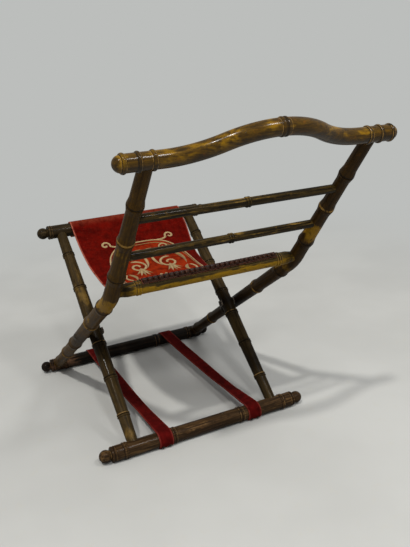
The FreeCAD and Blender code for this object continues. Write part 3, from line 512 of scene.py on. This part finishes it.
def velvet(name, half_width, middle_x, dark, light, edge, cartouche=None, rubbed=None):
    """Silk velvet: a short crushed pile, darker and lighter by turns, worn to the ground along its edges.

    A cartouche has a ground of its own; rubbed is a place along the cloth, its half length and its tone."""
    g = Surface(name)
    u, v, _ = g.split(g.coordinates("UV"))
    flat = g.flat(u, v)
    crush = g.noise(g.scaled(flat, 18.0, 30.0, 1.0), detail=4.0, rough=0.6, warp=0.8)
    streak = g.noise(g.scaled(flat, 90.0, 60.0, 1.0), detail=3.0, rough=0.65)
    pile = g.noise(g.scaled(flat, 1500.0, 1500.0, 1.0), detail=2.0)
    weave = g.noise(g.scaled(flat, 420.0, 420.0, 1.0), detail=2.0)
    shade = g.plus(g.times(crush, 0.6), g.times(streak, 0.4))
    colour = g.toward(tone(*dark), tone(*light), g.steps(shade, 0.26, 0.76))
    if cartouche:
        x = g.math("DIVIDE", g.distance(u, 0.0), cartouche.half_x)
        s = g.math("DIVIDE", g.distance(v, cartouche.centre), cartouche.half_s)
        reach = g.plus(g.math("POWER", x, cartouche.power), g.math("POWER", s, cartouche.power))
        ground = g.toward(tone(*cartouche.dark), tone(*cartouche.light), g.steps(shade, 0.36, 0.62))
        colour = g.toward(colour, ground, g.steps(reach, 1.04, 0.94))
    if rubbed:
        at, half, rub_tone = rubbed
        near = g.steps(g.distance(v, at), half, 0.0)
        colour = g.toward(colour, tone(*rub_tone), near, g.steps(streak, 0.2, 0.6), 0.85)
    rim = g.steps(g.distance(u, middle_x), half_width - 0.0045, half_width - 0.001)
    colour = g.toward(colour, tone(*edge), rim, g.steps(streak, 0.25, 0.55))
    colour = g.toward(colour, tone(*dark), g.steps(pile, 0.45, 0.75), 0.3)
    colour = g.toward(colour, tone(*edge), g.steps(weave, 0.6, 0.75), 0.25)
    g.set(Base_Color=colour, Roughness=0.9, Specular_IOR_Level=0.03)
    g.set(Sheen_Weight=0.06, Sheen_Roughness=0.4, Sheen_Tint=tone(225, 70, 46))
    g.bump(g.plus(pile, weave, g.times(crush, 1.5)), strength=0.35, distance=0.0008)
    return g.material


def canvas(name, thread, gap):
    """Plain woven canvas with stains."""
    g = Surface(name)
    u, v, _ = g.split(g.coordinates("UV"))
    warp = g.math("SINE", g.times(u, 3600.0))
    weft = g.math("SINE", g.times(v, 3600.0))
    cross = g.times(warp, weft)
    stain = g.noise(g.flat(u, v), 26.0, detail=4.0, rough=0.6)
    colour = g.toward(tone(*gap), tone(*thread), g.steps(cross, -0.6, 0.6))
    colour = g.toward(colour, tone(*gap), g.steps(stain, 0.45, 0.75), 0.5)
    g.set(Base_Color=colour, Roughness=0.9, Specular_IOR_Level=0.2)
    g.bump(cross, strength=0.4, distance=0.0004)
    return g.material


def silk(name, light, dark):
    """Silk thread: fine stitches across the stroke, and darker sides that are a brown outline and painted
    shade on the raised stroke.
    """
    g = Surface(name)
    u, v, _ = g.split(g.coordinates("UV"))
    stitch = g.math("SINE", g.plus(g.times(u, 5200.0), g.times(v, 3.0)))
    age = g.noise(g.coordinates("Object"), 130.0, detail=3.0, rough=0.6)
    colour = g.toward(tone(*dark), tone(*light), g.steps(stitch, -0.9, 0.3))
    colour = g.toward(colour, tone(*dark), g.steps(age, 0.42, 0.7), 0.55)
    # Painted shade and a brown outline: the stroke darkens towards both its sides
    colour = g.toward(colour, tone(*(c * 0.7 for c in dark)), g.steps(g.distance(v, 0.5), 0.22, 0.42), 0.6)
    g.set(Base_Color=colour, Roughness=0.55, Specular_IOR_Level=0.35, Sheen_Weight=0.2)
    g.bump(stitch, strength=0.35, distance=0.0004)
    return g.material


# Wave of the braid's slanting cords, in radians per metre along the rail and across the braid
BRAID_SLANT = (1800.0, 900.0)


def braid_weave(name):
    """A dark twilled braid with a paler, worn lower edge."""
    g = Surface(name)
    u, v, _ = g.split(g.coordinates("UV"))
    twill = g.math("SINE", g.plus(g.times(u, BRAID_SLANT[0]), g.times(v, BRAID_SLANT[1])))
    wear = g.noise(g.flat(u, v), 90.0, detail=3.0, rough=0.6)
    cords = g.steps(twill, -0.7, 0.7)
    colour = g.toward(tone(12, 4, 3), tone(30, 12, 9), cords)
    lower_edge = g.toward(tone(42, 27, 21), tone(74, 51, 40), cords)
    colour = g.toward(colour, lower_edge, g.steps(v, 0.0105, 0.0135), g.steps(wear, 0.3, 0.55))
    g.set(Base_Color=colour, Roughness=0.9, Specular_IOR_Level=0.05)
    g.bump(twill, strength=0.4, distance=0.0004)
    return g.material


# Cloth shapes
def on_circle(centre, radius, degrees):
    angle = np.radians(degrees)
    return np.stack([centre.y + radius * np.cos(angle), centre.z + radius * np.sin(angle)], -1)


def spokes(centre, degrees):
    """Directions away from a circle's centre."""
    return on_circle(centre, 1.0, degrees) - on_circle(centre, 0.0, degrees)


def band_line(front, front_radius, rear, rear_radius, sag, wraps, step):
    """Points and upward normals of a band round two bars, from the front end on, and its length there."""
    reach_a, reach_b = sag + front_radius, sag + rear_radius
    line = rear - front
    along = (reach_a**2 - reach_b**2 + line.length**2) / (2 * line.length)
    up = Vector((0, -line.z, line.y)).normalized()
    centre = front + line.normalized() * along + up * math.sqrt(reach_a**2 - along**2)
    leave = math.degrees(math.atan2(centre.z - front.z, centre.y - front.y))
    land = math.degrees(math.atan2(centre.z - rear.z, centre.y - rear.y))
    points, normals, lengths = [], [], []
    run = 0.0
    for middle_point, radius, start, end, outward in (
        (front, front_radius, wraps[0], leave, 1),
        (centre, sag, leave + 180, land + 180, -1),
        (rear, rear_radius, land, wraps[1], 1),
    ):
        span = abs(math.radians(end - start)) * radius
        count = max(int(span / step), 4)
        shares = np.linspace(0, 1, count + 1)[(1 if points else 0):]
        degrees = start + (end - start) * shares
        points.append(on_circle(middle_point, radius, degrees))
        normals.append(outward * spokes(middle_point, degrees))
        lengths.append(run + span * shares)
        run += span
    return np.concatenate(points), np.concatenate(normals), np.concatenate(lengths)


def mesh_of(name, points, faces, uvs=None):
    mesh = bpy.data.meshes.new(name)
    mesh.from_pydata([tuple(p) for p in points], [], faces)
    if uvs is not None:
        layer = mesh.uv_layers.new(name="UVMap")
        for loop in mesh.loops:
            layer.data[loop.index].uv = uvs[loop.vertex_index]
    mesh.polygons.foreach_set("use_smooth", [True] * len(mesh.polygons))
    made = bpy.data.objects.new(name, mesh)
    bpy.context.scene.collection.objects.link(made)
    return made


def surface_of(line, shape):
    """A cloth's middle surface: takes places across and along it, gives points and upward normals.

    shape moves a place sideways and off the plain band."""
    places, normals, lengths = line

    def points_at(x, s):
        out = [np.interp(s, lengths, column) for column in (*places.T, *normals.T)]
        across, lift = shape(x, s)
        scale = np.hypot(out[2], out[3])
        return np.stack([across, out[0] + out[2] / scale * lift, out[1] + out[3] / scale * lift], -1)

    def surface(x, s):
        step = 0.0005
        before, after = np.maximum(s - step, lengths[0]), np.minimum(s + step, lengths[-1])
        along = points_at(x, after) - points_at(x, before)
        up = np.cross(points_at(x + step, s) - points_at(x - step, s), along)
        return points_at(x, s), up / np.linalg.norm(up, axis=-1, keepdims=True)

    return surface


def band_mesh(name, surface, xs, lengths, thickness, off=0.0):
    """A band of cloth as a closed thin solid, off the surface by a given height, and its length."""
    rows, cols = len(lengths), len(xs)
    grid_x, grid_s = np.meshgrid(xs, lengths)
    middle_points, up = surface(grid_x, grid_s)
    points = np.concatenate([
        (middle_points + up * (off + face * thickness)).reshape(-1, 3) for face in (0.5, -0.5)
    ])
    count = rows * cols
    uvs = np.tile(np.stack([grid_x, grid_s], -1).reshape(-1, 2), (2, 1))
    faces = []
    for r in range(rows - 1):
        for c in range(cols - 1):
            a = r * cols + c
            quad = (a, a + 1, a + cols + 1, a + cols)
            faces.append(quad)
            faces.append(tuple(count + i for i in reversed(quad)))
    rim = list(range(cols))
    rim += [r * cols + cols - 1 for r in range(1, rows)]
    rim += [(rows - 1) * cols + c for c in range(cols - 2, -1, -1)]
    rim += [r * cols for r in range(rows - 2, 0, -1)]
    for i, a in enumerate(rim):
        b = rim[(i + 1) % len(rim)]
        faces.append((b, a, count + a, count + b))
    run = middle_points[:, cols // 2] + up[:, cols // 2] * off
    return mesh_of(name, points, faces, uvs), float(np.linalg.norm(np.diff(run, axis=0), axis=1).sum())


def rise(s, start, span):
    """0 up to start, 1 from a span further on."""
    return np.clip((s - start) / span, 0, 1)


def eased(share):
    return share * share * (3 - 2 * share)


# Seat: velvet sling with its canvas lining
LINING_OFF = CLOTH_GAP + LINING_THICK / 2
VELVET_OFF = 2 * CLOTH_GAP + LINING_THICK + VELVET_THICK / 2
SLING_STEP = 0.004
sling_line = band_line(
    SEAT_BAR, SEAT_BAR_RADIUS + VELVET_OFF, REAR_RAIL, REAR_RADIUS + VELVET_OFF,
    SLING_SAG, SLING_WRAPS, SLING_STEP,
)
sling_y, sling_z = sling_line[0].T
past_bar = sling_y > SEAT_BAR.y + 0.1
SLING_LOW = sling_line[2][int(np.argmin(np.where(past_bar, sling_z, np.inf)))]
BAR_TOP = sling_line[2][int(np.argmax(sling_z))]
SLING_LENGTH = sling_line[2][-1]
SLING_HELD_FRONT, SLING_HELD_REAR, SLING_EASE = 0.1, 0.06, 0.12
SLING_GIVE = 0.0025
RIPPLE, SWAY = 0.0006, 0.001
DROOP_START, DROOP_BEND, DROOP_ANGLE = 0.1, 0.04, math.radians(31)
DROOP_FROM, DROOP_FROM_EASE = 0.12, 0.13
DROOP_PAST_LOW, DROOP_END_EASE = 0.075, 0.11
CARTOUCHE = Cartouche(
    centre=SLING_LOW, half_x=0.117, half_s=0.192, power=3.2, dark=(90, 18, 4), light=(140, 40, 10)
)
RUBBED_HALF = 0.03


def sling_shape(x, s):
    """The hanging middle gives a little, the cloth has faint waves, and its right edge hangs lower."""
    past_front = rise(s, SLING_HELD_FRONT, SLING_EASE)
    before_rear = rise(SLING_LENGTH - s, SLING_HELD_REAR, SLING_EASE)
    free = eased(past_front * before_rear)
    side = x / SLING_HALF
    wave = np.sin(s * 61 + x * 9) * np.sin(x * 37 + 1.3) * RIPPLE + np.sin(s * 23 + 0.6) * side * SWAY
    lift = free * (wave - SLING_GIVE * (1 - side**2))
    past = np.maximum(-x - DROOP_START, 0)
    hang = rise(s, DROOP_FROM, DROOP_FROM_EASE) * rise(SLING_LOW - s, -DROOP_PAST_LOW, DROOP_END_EASE)
    most = DROOP_ANGLE * eased(hang)
    turn = np.minimum(past / DROOP_BEND, most)
    flat = past - DROOP_BEND * turn
    inward = past - DROOP_BEND * np.sin(turn) - flat * np.cos(turn)
    drop = DROOP_BEND * (1 - np.cos(turn)) + flat * np.sin(turn)
    return x + inward, lift - drop


sling_surface = surface_of(sling_line, sling_shape)
sling_xs = np.linspace(-SLING_HALF, SLING_HALF, 61)
sling, sling_run = band_mesh("seat_sling_velvet", sling_surface, sling_xs, sling_line[2], VELVET_THICK)
cover(velvet(
    "sling velvet", SLING_HALF, 0.0, dark=(55, 3, 1), light=(106, 12, 4), edge=(172, 96, 78),
    cartouche=CARTOUCHE, rubbed=(BAR_TOP, RUBBED_HALF, (122, 52, 34)),
), sling)
lining, lining_run = band_mesh(
    "seat_lining_canvas", sling_surface, sling_xs * LINING_WIDTH_SHARE, sling_line[2],
    LINING_THICK, LINING_OFF - VELVET_OFF,
)
cover(canvas("lining canvas", thread=(150, 132, 104), gap=(104, 88, 66)), lining)
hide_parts("seat_sling")
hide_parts("seat_lining")

# Straps between the foot bars
STRAP_RADIUS = FOOT_BAR_RADIUS + CLOTH_GAP + STRAP_THICK / 2
STRAP_STEP = 0.005
STRAP_HELD, STRAP_EASE = 0.07, 0.1
STRAP_WAVE, STRAP_TWIST, STRAP_NARROWING = 0.0008, 0.0022, 0.07
strap_line = band_line(
    FRONT_FOOT, STRAP_RADIUS, REAR_FOOT, STRAP_RADIUS, STRAP_SAG, STRAP_WRAPS, STRAP_STEP
)
STRAP_LENGTH = strap_line[2][-1]


def strap_shape(middle_x):
    """A strap's run waves slightly, turns a little about its middle and is drawn narrower there."""

    def shape(x, s):
        free = rise(s, STRAP_HELD, STRAP_EASE) * rise(STRAP_LENGTH - s, STRAP_HELD, STRAP_EASE)
        off_middle = x - middle_x
        twist = STRAP_TWIST * off_middle / STRAP_HALF * np.sin(s * 9)
        lift = free * (np.sin(s * 19 + x * 30) * STRAP_WAVE - twist)
        return middle_x + off_middle * (1 - STRAP_NARROWING * free), lift

    return shape


straps = []
for side in ("left", "right"):
    at = middle(f"{side}_strap").x
    strap, strap_run = band_mesh(
        f"{side}_strap_velvet", surface_of(strap_line, strap_shape(at)),
        np.linspace(at - STRAP_HALF, at + STRAP_HALF, 15), strap_line[2], STRAP_THICK,
    )
    cover(velvet(
        f"{side} strap velvet", STRAP_HALF, at, dark=(44, 4, 4), light=(94, 15, 13), edge=(112, 44, 37)
    ), strap)
    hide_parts(f"{side}_strap")
    straps.append(strap)


# Embroidery: cords and leaves laid on the sling, in places across and along it from the cartouche's middle
THREAD_GAP = 0.0001
CORD_HEIGHT, LEAF_HEIGHT = 0.0013, 0.0015
THREAD_SIDES = 8
THREADS = {
    "pale": ((188, 162, 112), (120, 90, 48)),
    "gold": ((158, 128, 66), (94, 68, 30)),
    "brown": ((104, 66, 34), (66, 36, 18)),
}

# The cartouche's two outlines: thread, size, half width and height
OUTLINES = (("pale", 1.0, 0.0023, 0.0016), ("gold", 0.945, 0.0012, 0.0009))
OUTLINE_POINTS = 420
PLUME_ROOT, PLUME_FEATHERS = (0.042, -0.074), 5
PETALS, PETAL_ROOT, PETAL_TIP, PETAL_HALF = 8, 0.005, 0.022, 0.0042


def running_length(path):
    return np.concatenate([[0], np.cumsum(np.linalg.norm(np.diff(path, axis=0), axis=1))])


def stroke_parts(path, half_width, height):
    """Points, faces and places along the thread of a raised stroke that follows a path on the sling."""
    base, up = sling_surface(path[:, 0], path[:, 1])
    base = base + up * (VELVET_THICK / 2 + THREAD_GAP)
    way = np.gradient(base, axis=0)
    way /= np.linalg.norm(way, axis=1, keepdims=True)
    across = np.cross(up, way)
    angles = np.linspace(0, math.pi, THREAD_SIDES)
    rings = (
        base[:, None, :]
        + across[:, None, :] * (np.cos(angles)[None, :, None] * half_width[:, None, None])
        + up[:, None, :] * (np.sin(angles)[None, :, None] * height[:, None, None])
    )
    uvs = np.stack(np.broadcast_arrays(running_length(base)[:, None], (angles / math.pi)[None, :]), -1)
    faces = []
    for i in range(len(path) - 1):
        here, there = i * THREAD_SIDES, (i + 1) * THREAD_SIDES
        for j in range(THREAD_SIDES):
            k = (j + 1) % THREAD_SIDES
            faces.append((here + k, here + j, there + j, there + k))
    last = (len(path) - 1) * THREAD_SIDES
    faces.append(tuple(range(THREAD_SIDES)))
    faces.append(tuple(last + j for j in reversed(range(THREAD_SIDES))))
    return rings.reshape(-1, 3), faces, uvs.reshape(-1, 2)


def stitched(name, strokes):
    """One mesh of all strokes in one thread."""
    points, faces, uvs = [], [], []
    count = 0
    for stroke in strokes:
        stroke_points, stroke_faces, stroke_uvs = stroke_parts(*stroke)
        points.append(stroke_points)
        uvs.append(stroke_uvs)
        faces += [tuple(i + count for i in face) for face in stroke_faces]
        count += len(stroke_points)
    return mesh_of(name, np.concatenate(points), faces, np.concatenate(uvs))


def cord(path, half_width):
    """A laid cord of even width with pointed ends."""
    n = len(path)
    taper = np.clip(np.minimum(np.arange(n), np.arange(n)[::-1]) / 4 + 0.25, 0, 1)
    return path, half_width * taper, CORD_HEIGHT * taper


def leaf(path, half_width):
    """A leaf in satin stitch: full in the middle and pointed at both ends."""
    t = np.linspace(0, 1, len(path))
    full = np.sin(math.pi * t**0.8) * 0.96 + 0.04
    return path, half_width * full, LEAF_HEIGHT * np.sqrt(full)


def spiral(centre, radius, turns, start, sense, count=70):
    """A scroll that winds in from its outer end."""
    t = np.linspace(0, 1, count)
    angle = start + sense * turns * 2 * math.pi * t
    reach = radius * (1 - 0.86 * t)
    return np.stack([centre[0] + reach * np.cos(angle), centre[1] + reach * np.sin(angle)], -1)


def sweep(first, bend, last, count=40):
    """A curve from one place to another, drawn towards a third."""
    t = np.linspace(0, 1, count)[:, None]
    first, bend, last = (np.array(p, float) for p in (first, bend, last))
    return (1 - t) ** 2 * first + 2 * t * (1 - t) * bend + t**2 * last


def border(scale):
    """The cartouche's outline: a rounded oblong."""
    turn = np.linspace(0, 2 * math.pi, OUTLINE_POINTS)
    x, y = np.cos(turn), np.sin(turn)
    bend = 2 / CARTOUCHE.power
    x, y = np.sign(x) * np.abs(x) ** bend, np.sign(y) * np.abs(y) ** bend
    return np.stack([x * CARTOUCHE.half_x, y * CARTOUCHE.half_s], -1) * scale


def evenly(path, count):
    """The same path with its points spread evenly along it."""
    run = running_length(path)
    at = np.linspace(0, run[-1], count)
    return np.stack([np.interp(at, run, path[:, k]) for k in (0, 1)], -1)


def on_sling(path, flip_x=1, flip_y=1):
    """A path mirrored as told and moved to the cartouche's middle."""
    return path * (flip_x, flip_y) + (0.0, SLING_LOW)


def quarter():
    """The strokes of one quarter: thread, path, kind and half width."""
    # An ear that leaves the outline and rolls up at the corner
    ear_stem = sweep((0.05, -0.1885), (0.072, -0.185), (0.083, -0.194))
    ear = np.concatenate([ear_stem, spiral((0.0955, -0.1985), 0.0133, 1.1, 2.8, 1)])
    yield "pale", evenly(ear, 80), cord, 0.0031
    # A scroll with a plume of feathers
    yield "pale", spiral((0.046, -0.082), 0.029, 1.35, -1.2, -1), cord, 0.0034
    for k in range(PLUME_FEATHERS):
        lean = -0.75 + 0.42 * k
        bend = (0.042 + 0.02 * math.sin(lean * 0.4), -0.05)
        tip = (0.042 + 0.03 * math.sin(lean), -0.066 + 0.042 * math.cos(lean))
        yield ("pale" if k % 2 else "gold"), sweep(PLUME_ROOT, bend, tip), leaf, 0.0036
    # Leaves and stems round it
    yield "gold", sweep((0.008, -0.16), (0.045, -0.152), (0.05, -0.112)), leaf, 0.0062
    yield "gold", sweep((0.07, -0.13), (0.1, -0.11), (0.087, -0.058)), leaf, 0.006
    yield "pale", sweep((0.014, -0.14), (0.004, -0.1), (0.022, -0.07)), leaf, 0.0042
    yield "pale", sweep((0.09, -0.048), (0.108, -0.024), (0.088, -0.004)), cord, 0.003
    yield "gold", sweep((0.086, -0.05), (0.066, -0.03), (0.078, -0.004)), leaf, 0.005
    yield "pale", spiral((0.062, -0.158), 0.015, 1.2, 2.6, 1), cord, 0.0025
    yield "brown", sweep((0.02, -0.148), (0.043, -0.143), (0.047, -0.118)), leaf, 0.0018
    yield "brown", sweep((0.078, -0.117), (0.094, -0.1), (0.087, -0.068)), leaf, 0.0017


strokes = {thread: [] for thread in THREADS}
for thread, scale, half, height in OUTLINES:
    ring = on_sling(evenly(border(scale), OUTLINE_POINTS))
    strokes[thread].append((ring, np.full(len(ring), half), np.full(len(ring), height)))
for flip_x in (1, -1):
    for flip_y in (1, -1):
        for thread, path, kind, half in quarter():
            strokes[thread].append(kind(on_sling(path, flip_x, flip_y), half))
for k in range(PETALS):
    angle = 2 * math.pi / PETALS * (k + 0.5)
    root, tip = (
        (reach * math.cos(angle), reach * math.sin(angle)) for reach in (PETAL_ROOT, PETAL_TIP)
    )
    petal = leaf(on_sling(sweep(root, tip, tip, 14)), PETAL_HALF)
    strokes["gold" if k % 2 else "pale"].append(petal)
embroidery = []
for thread, (light, dark) in THREADS.items():
    piece = stitched(f"embroidery_{thread}", strokes[thread])
    cover(silk(f"{thread} thread", light, dark), piece)
    embroidery.append(piece)

# Braid under the nails
BRAID_ROUGHNESS = 0.00018
low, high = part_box("seat_braid")
braid_radius = REAR_RADIUS + 3 * CLOTH_GAP + LINING_THICK + VELVET_THICK + BRAID_THICK / 2
braid_spread = math.degrees(BRAID_WIDTH / braid_radius)
braid_turns = np.linspace(SLING_WRAPS[1] + braid_spread, SLING_WRAPS[1], 13)
braid_line = (
    on_circle(REAR_RAIL, braid_radius, braid_turns), spokes(REAR_RAIL, braid_turns),
    np.linspace(0, BRAID_WIDTH, len(braid_turns)),
)


def braid_shape(x, s):
    """Slanting cords of a woven trim."""
    return x, np.sin(x * BRAID_SLANT[0] + s * BRAID_SLANT[1]) * BRAID_ROUGHNESS


braid, _ = band_mesh(
    "seat_braid_trim", surface_of(braid_line, braid_shape), np.linspace(low.x, high.x, 501),
    braid_line[2], BRAID_THICK,
)
cover(braid_weave("braid weave"), braid)
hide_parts("seat_braid")
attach(braid, "back_frame")

# The cloth pieces' places are baked into their meshes
for piece in [sling, lining] + embroidery:
    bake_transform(piece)
for piece in straps:
    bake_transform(piece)

# Studio: a pale floor that fades into the backdrop, a soft sky that is brightest overhead, and three lights
BACKDROP = tone(188, 190, 188)
SKY = (0.97, 0.975, 0.98, 1.0)
SKY_AT_HORIZON, SKY_OVERHEAD = 0.16, 0.54
DAYLIGHT, WHITE = (1.0, 0.985, 0.95), (1.0, 1.0, 1.0)
FLOOR_RADIUS, FLOOR_SIDES = 40, 96


def lay_floor():
    turns = np.linspace(0, 2 * math.pi, FLOOR_SIDES, endpoint=False)
    rim = [(FLOOR_RADIUS * math.cos(a), FLOOR_RADIUS * math.sin(a), 0.0) for a in turns]
    ground = mesh_of("studio_floor", rim, [tuple(range(FLOOR_SIDES))])
    g = Surface("studio floor")
    spot = g.coordinates("Object")
    cloud = g.noise(spot, 2.2, detail=3.0, rough=0.5)
    scuff = g.noise(spot, 30.0, detail=5.0, rough=0.68)
    colour = g.toward(tone(191, 191, 187), tone(198, 198, 194), g.steps(cloud, 0.35, 0.65))
    colour = g.toward(colour, tone(196, 192, 180), g.steps(scuff, 0.54, 0.74), 0.3)
    g.set(Base_Color=colour, Roughness=0.8, Specular_IOR_Level=0.2)
    far = g.steps(g.vector("LENGTH", spot), 0.8, 2.6)
    glow = g.node("ShaderNodeEmission", BACKDROP).outputs[0]
    faded = g.node("ShaderNodeMixShader", g.times(far, g.seen()), g.shader.outputs[0], glow).outputs[0]
    g.feed(g.tree.nodes["Material Output"].inputs["Surface"], faded)
    cover(g.material, ground)


def add_light(name, kind, place, target, power, tint, glints=True, **settings):
    """A light that looks at its target; without glints, varnish doesn't mirror it."""
    lamp = bpy.data.lights.new(name, kind)
    lamp.energy = power
    lamp.color = tint
    for setting, given in settings.items():
        setattr(lamp, setting, given)
    made = bpy.data.objects.new(name, lamp)
    made.location = place
    made.visible_glossy = glints
    made.rotation_euler = (Vector(target) - Vector(place)).to_track_quat("-Z", "Y").to_euler()
    bpy.context.scene.collection.objects.link(made)


def hang_sky():
    world = bpy.data.worlds.new("studio")
    bpy.context.scene.world = world
    world.use_nodes = True
    g = Graph(world.node_tree)
    height = g.split(g.coordinates("Generated"))[2]
    brightness = g.node("ShaderNodeMapRange", height, None, None, SKY_AT_HORIZON, SKY_OVERHEAD)
    sky = g.tree.nodes["Background"]
    g.feed(sky.inputs["Color"], SKY)
    g.feed(sky.inputs["Strength"], brightness.outputs["Result"])
    backdrop = g.node("ShaderNodeBackground", BACKDROP).outputs[0]
    chosen = g.node("ShaderNodeMixShader", g.seen(), sky.outputs[0], backdrop).outputs[0]
    g.feed(g.tree.nodes["World Output"].inputs["Surface"], chosen)


def set_camera():
    cos_p, sin_p = math.cos(CAMERA_PITCH), math.sin(CAMERA_PITCH)
    ahead = Vector((-math.sin(CAMERA_YAW) * cos_p, -math.cos(CAMERA_YAW) * cos_p, sin_p))
    right = ahead.cross(Vector((0, 0, 1))).normalized()
    up = right.cross(ahead)
    cos_r, sin_r = math.cos(CAMERA_ROLL), math.sin(CAMERA_ROLL)
    x_axis, y_axis = right * cos_r + up * sin_r, up * cos_r - right * sin_r
    lens = bpy.data.cameras.new("camera")
    lens.sensor_width = SENSOR
    lens.lens = FOCAL_PX / max(IMAGE_SIZE) * SENSOR
    lens.dof.use_dof = False
    made = bpy.data.objects.new("camera", lens)
    turn = Matrix((x_axis, y_axis, -ahead)).transposed()
    made.matrix_world = Matrix.Translation(CAMERA_PLACE) @ turn.to_4x4()
    bpy.context.scene.collection.objects.link(made)
    bpy.context.scene.camera = made


lay_floor()
add_light(
    "key_light", "SUN", place=(0.9, 0.86, 2.2), target=(0, 0, 0), power=1.35, tint=DAYLIGHT,
    angle=math.radians(3.5),
)
add_light(
    "second_light", "AREA", place=(-0.64, 1.5, 2.4), target=(0, 0.2, 0.5), power=16.0, tint=WHITE,
    shape="DISK", size=0.4,
)
add_light(
    "third_light", "AREA", place=(0.55, 2.4, 2.5), target=(0, 0, 0.3), power=25.0, tint=WHITE,
    glints=False, shape="DISK", size=0.35,
)
hang_sky()
set_camera()
bpy.context.scene.view_settings.view_transform = "Standard"
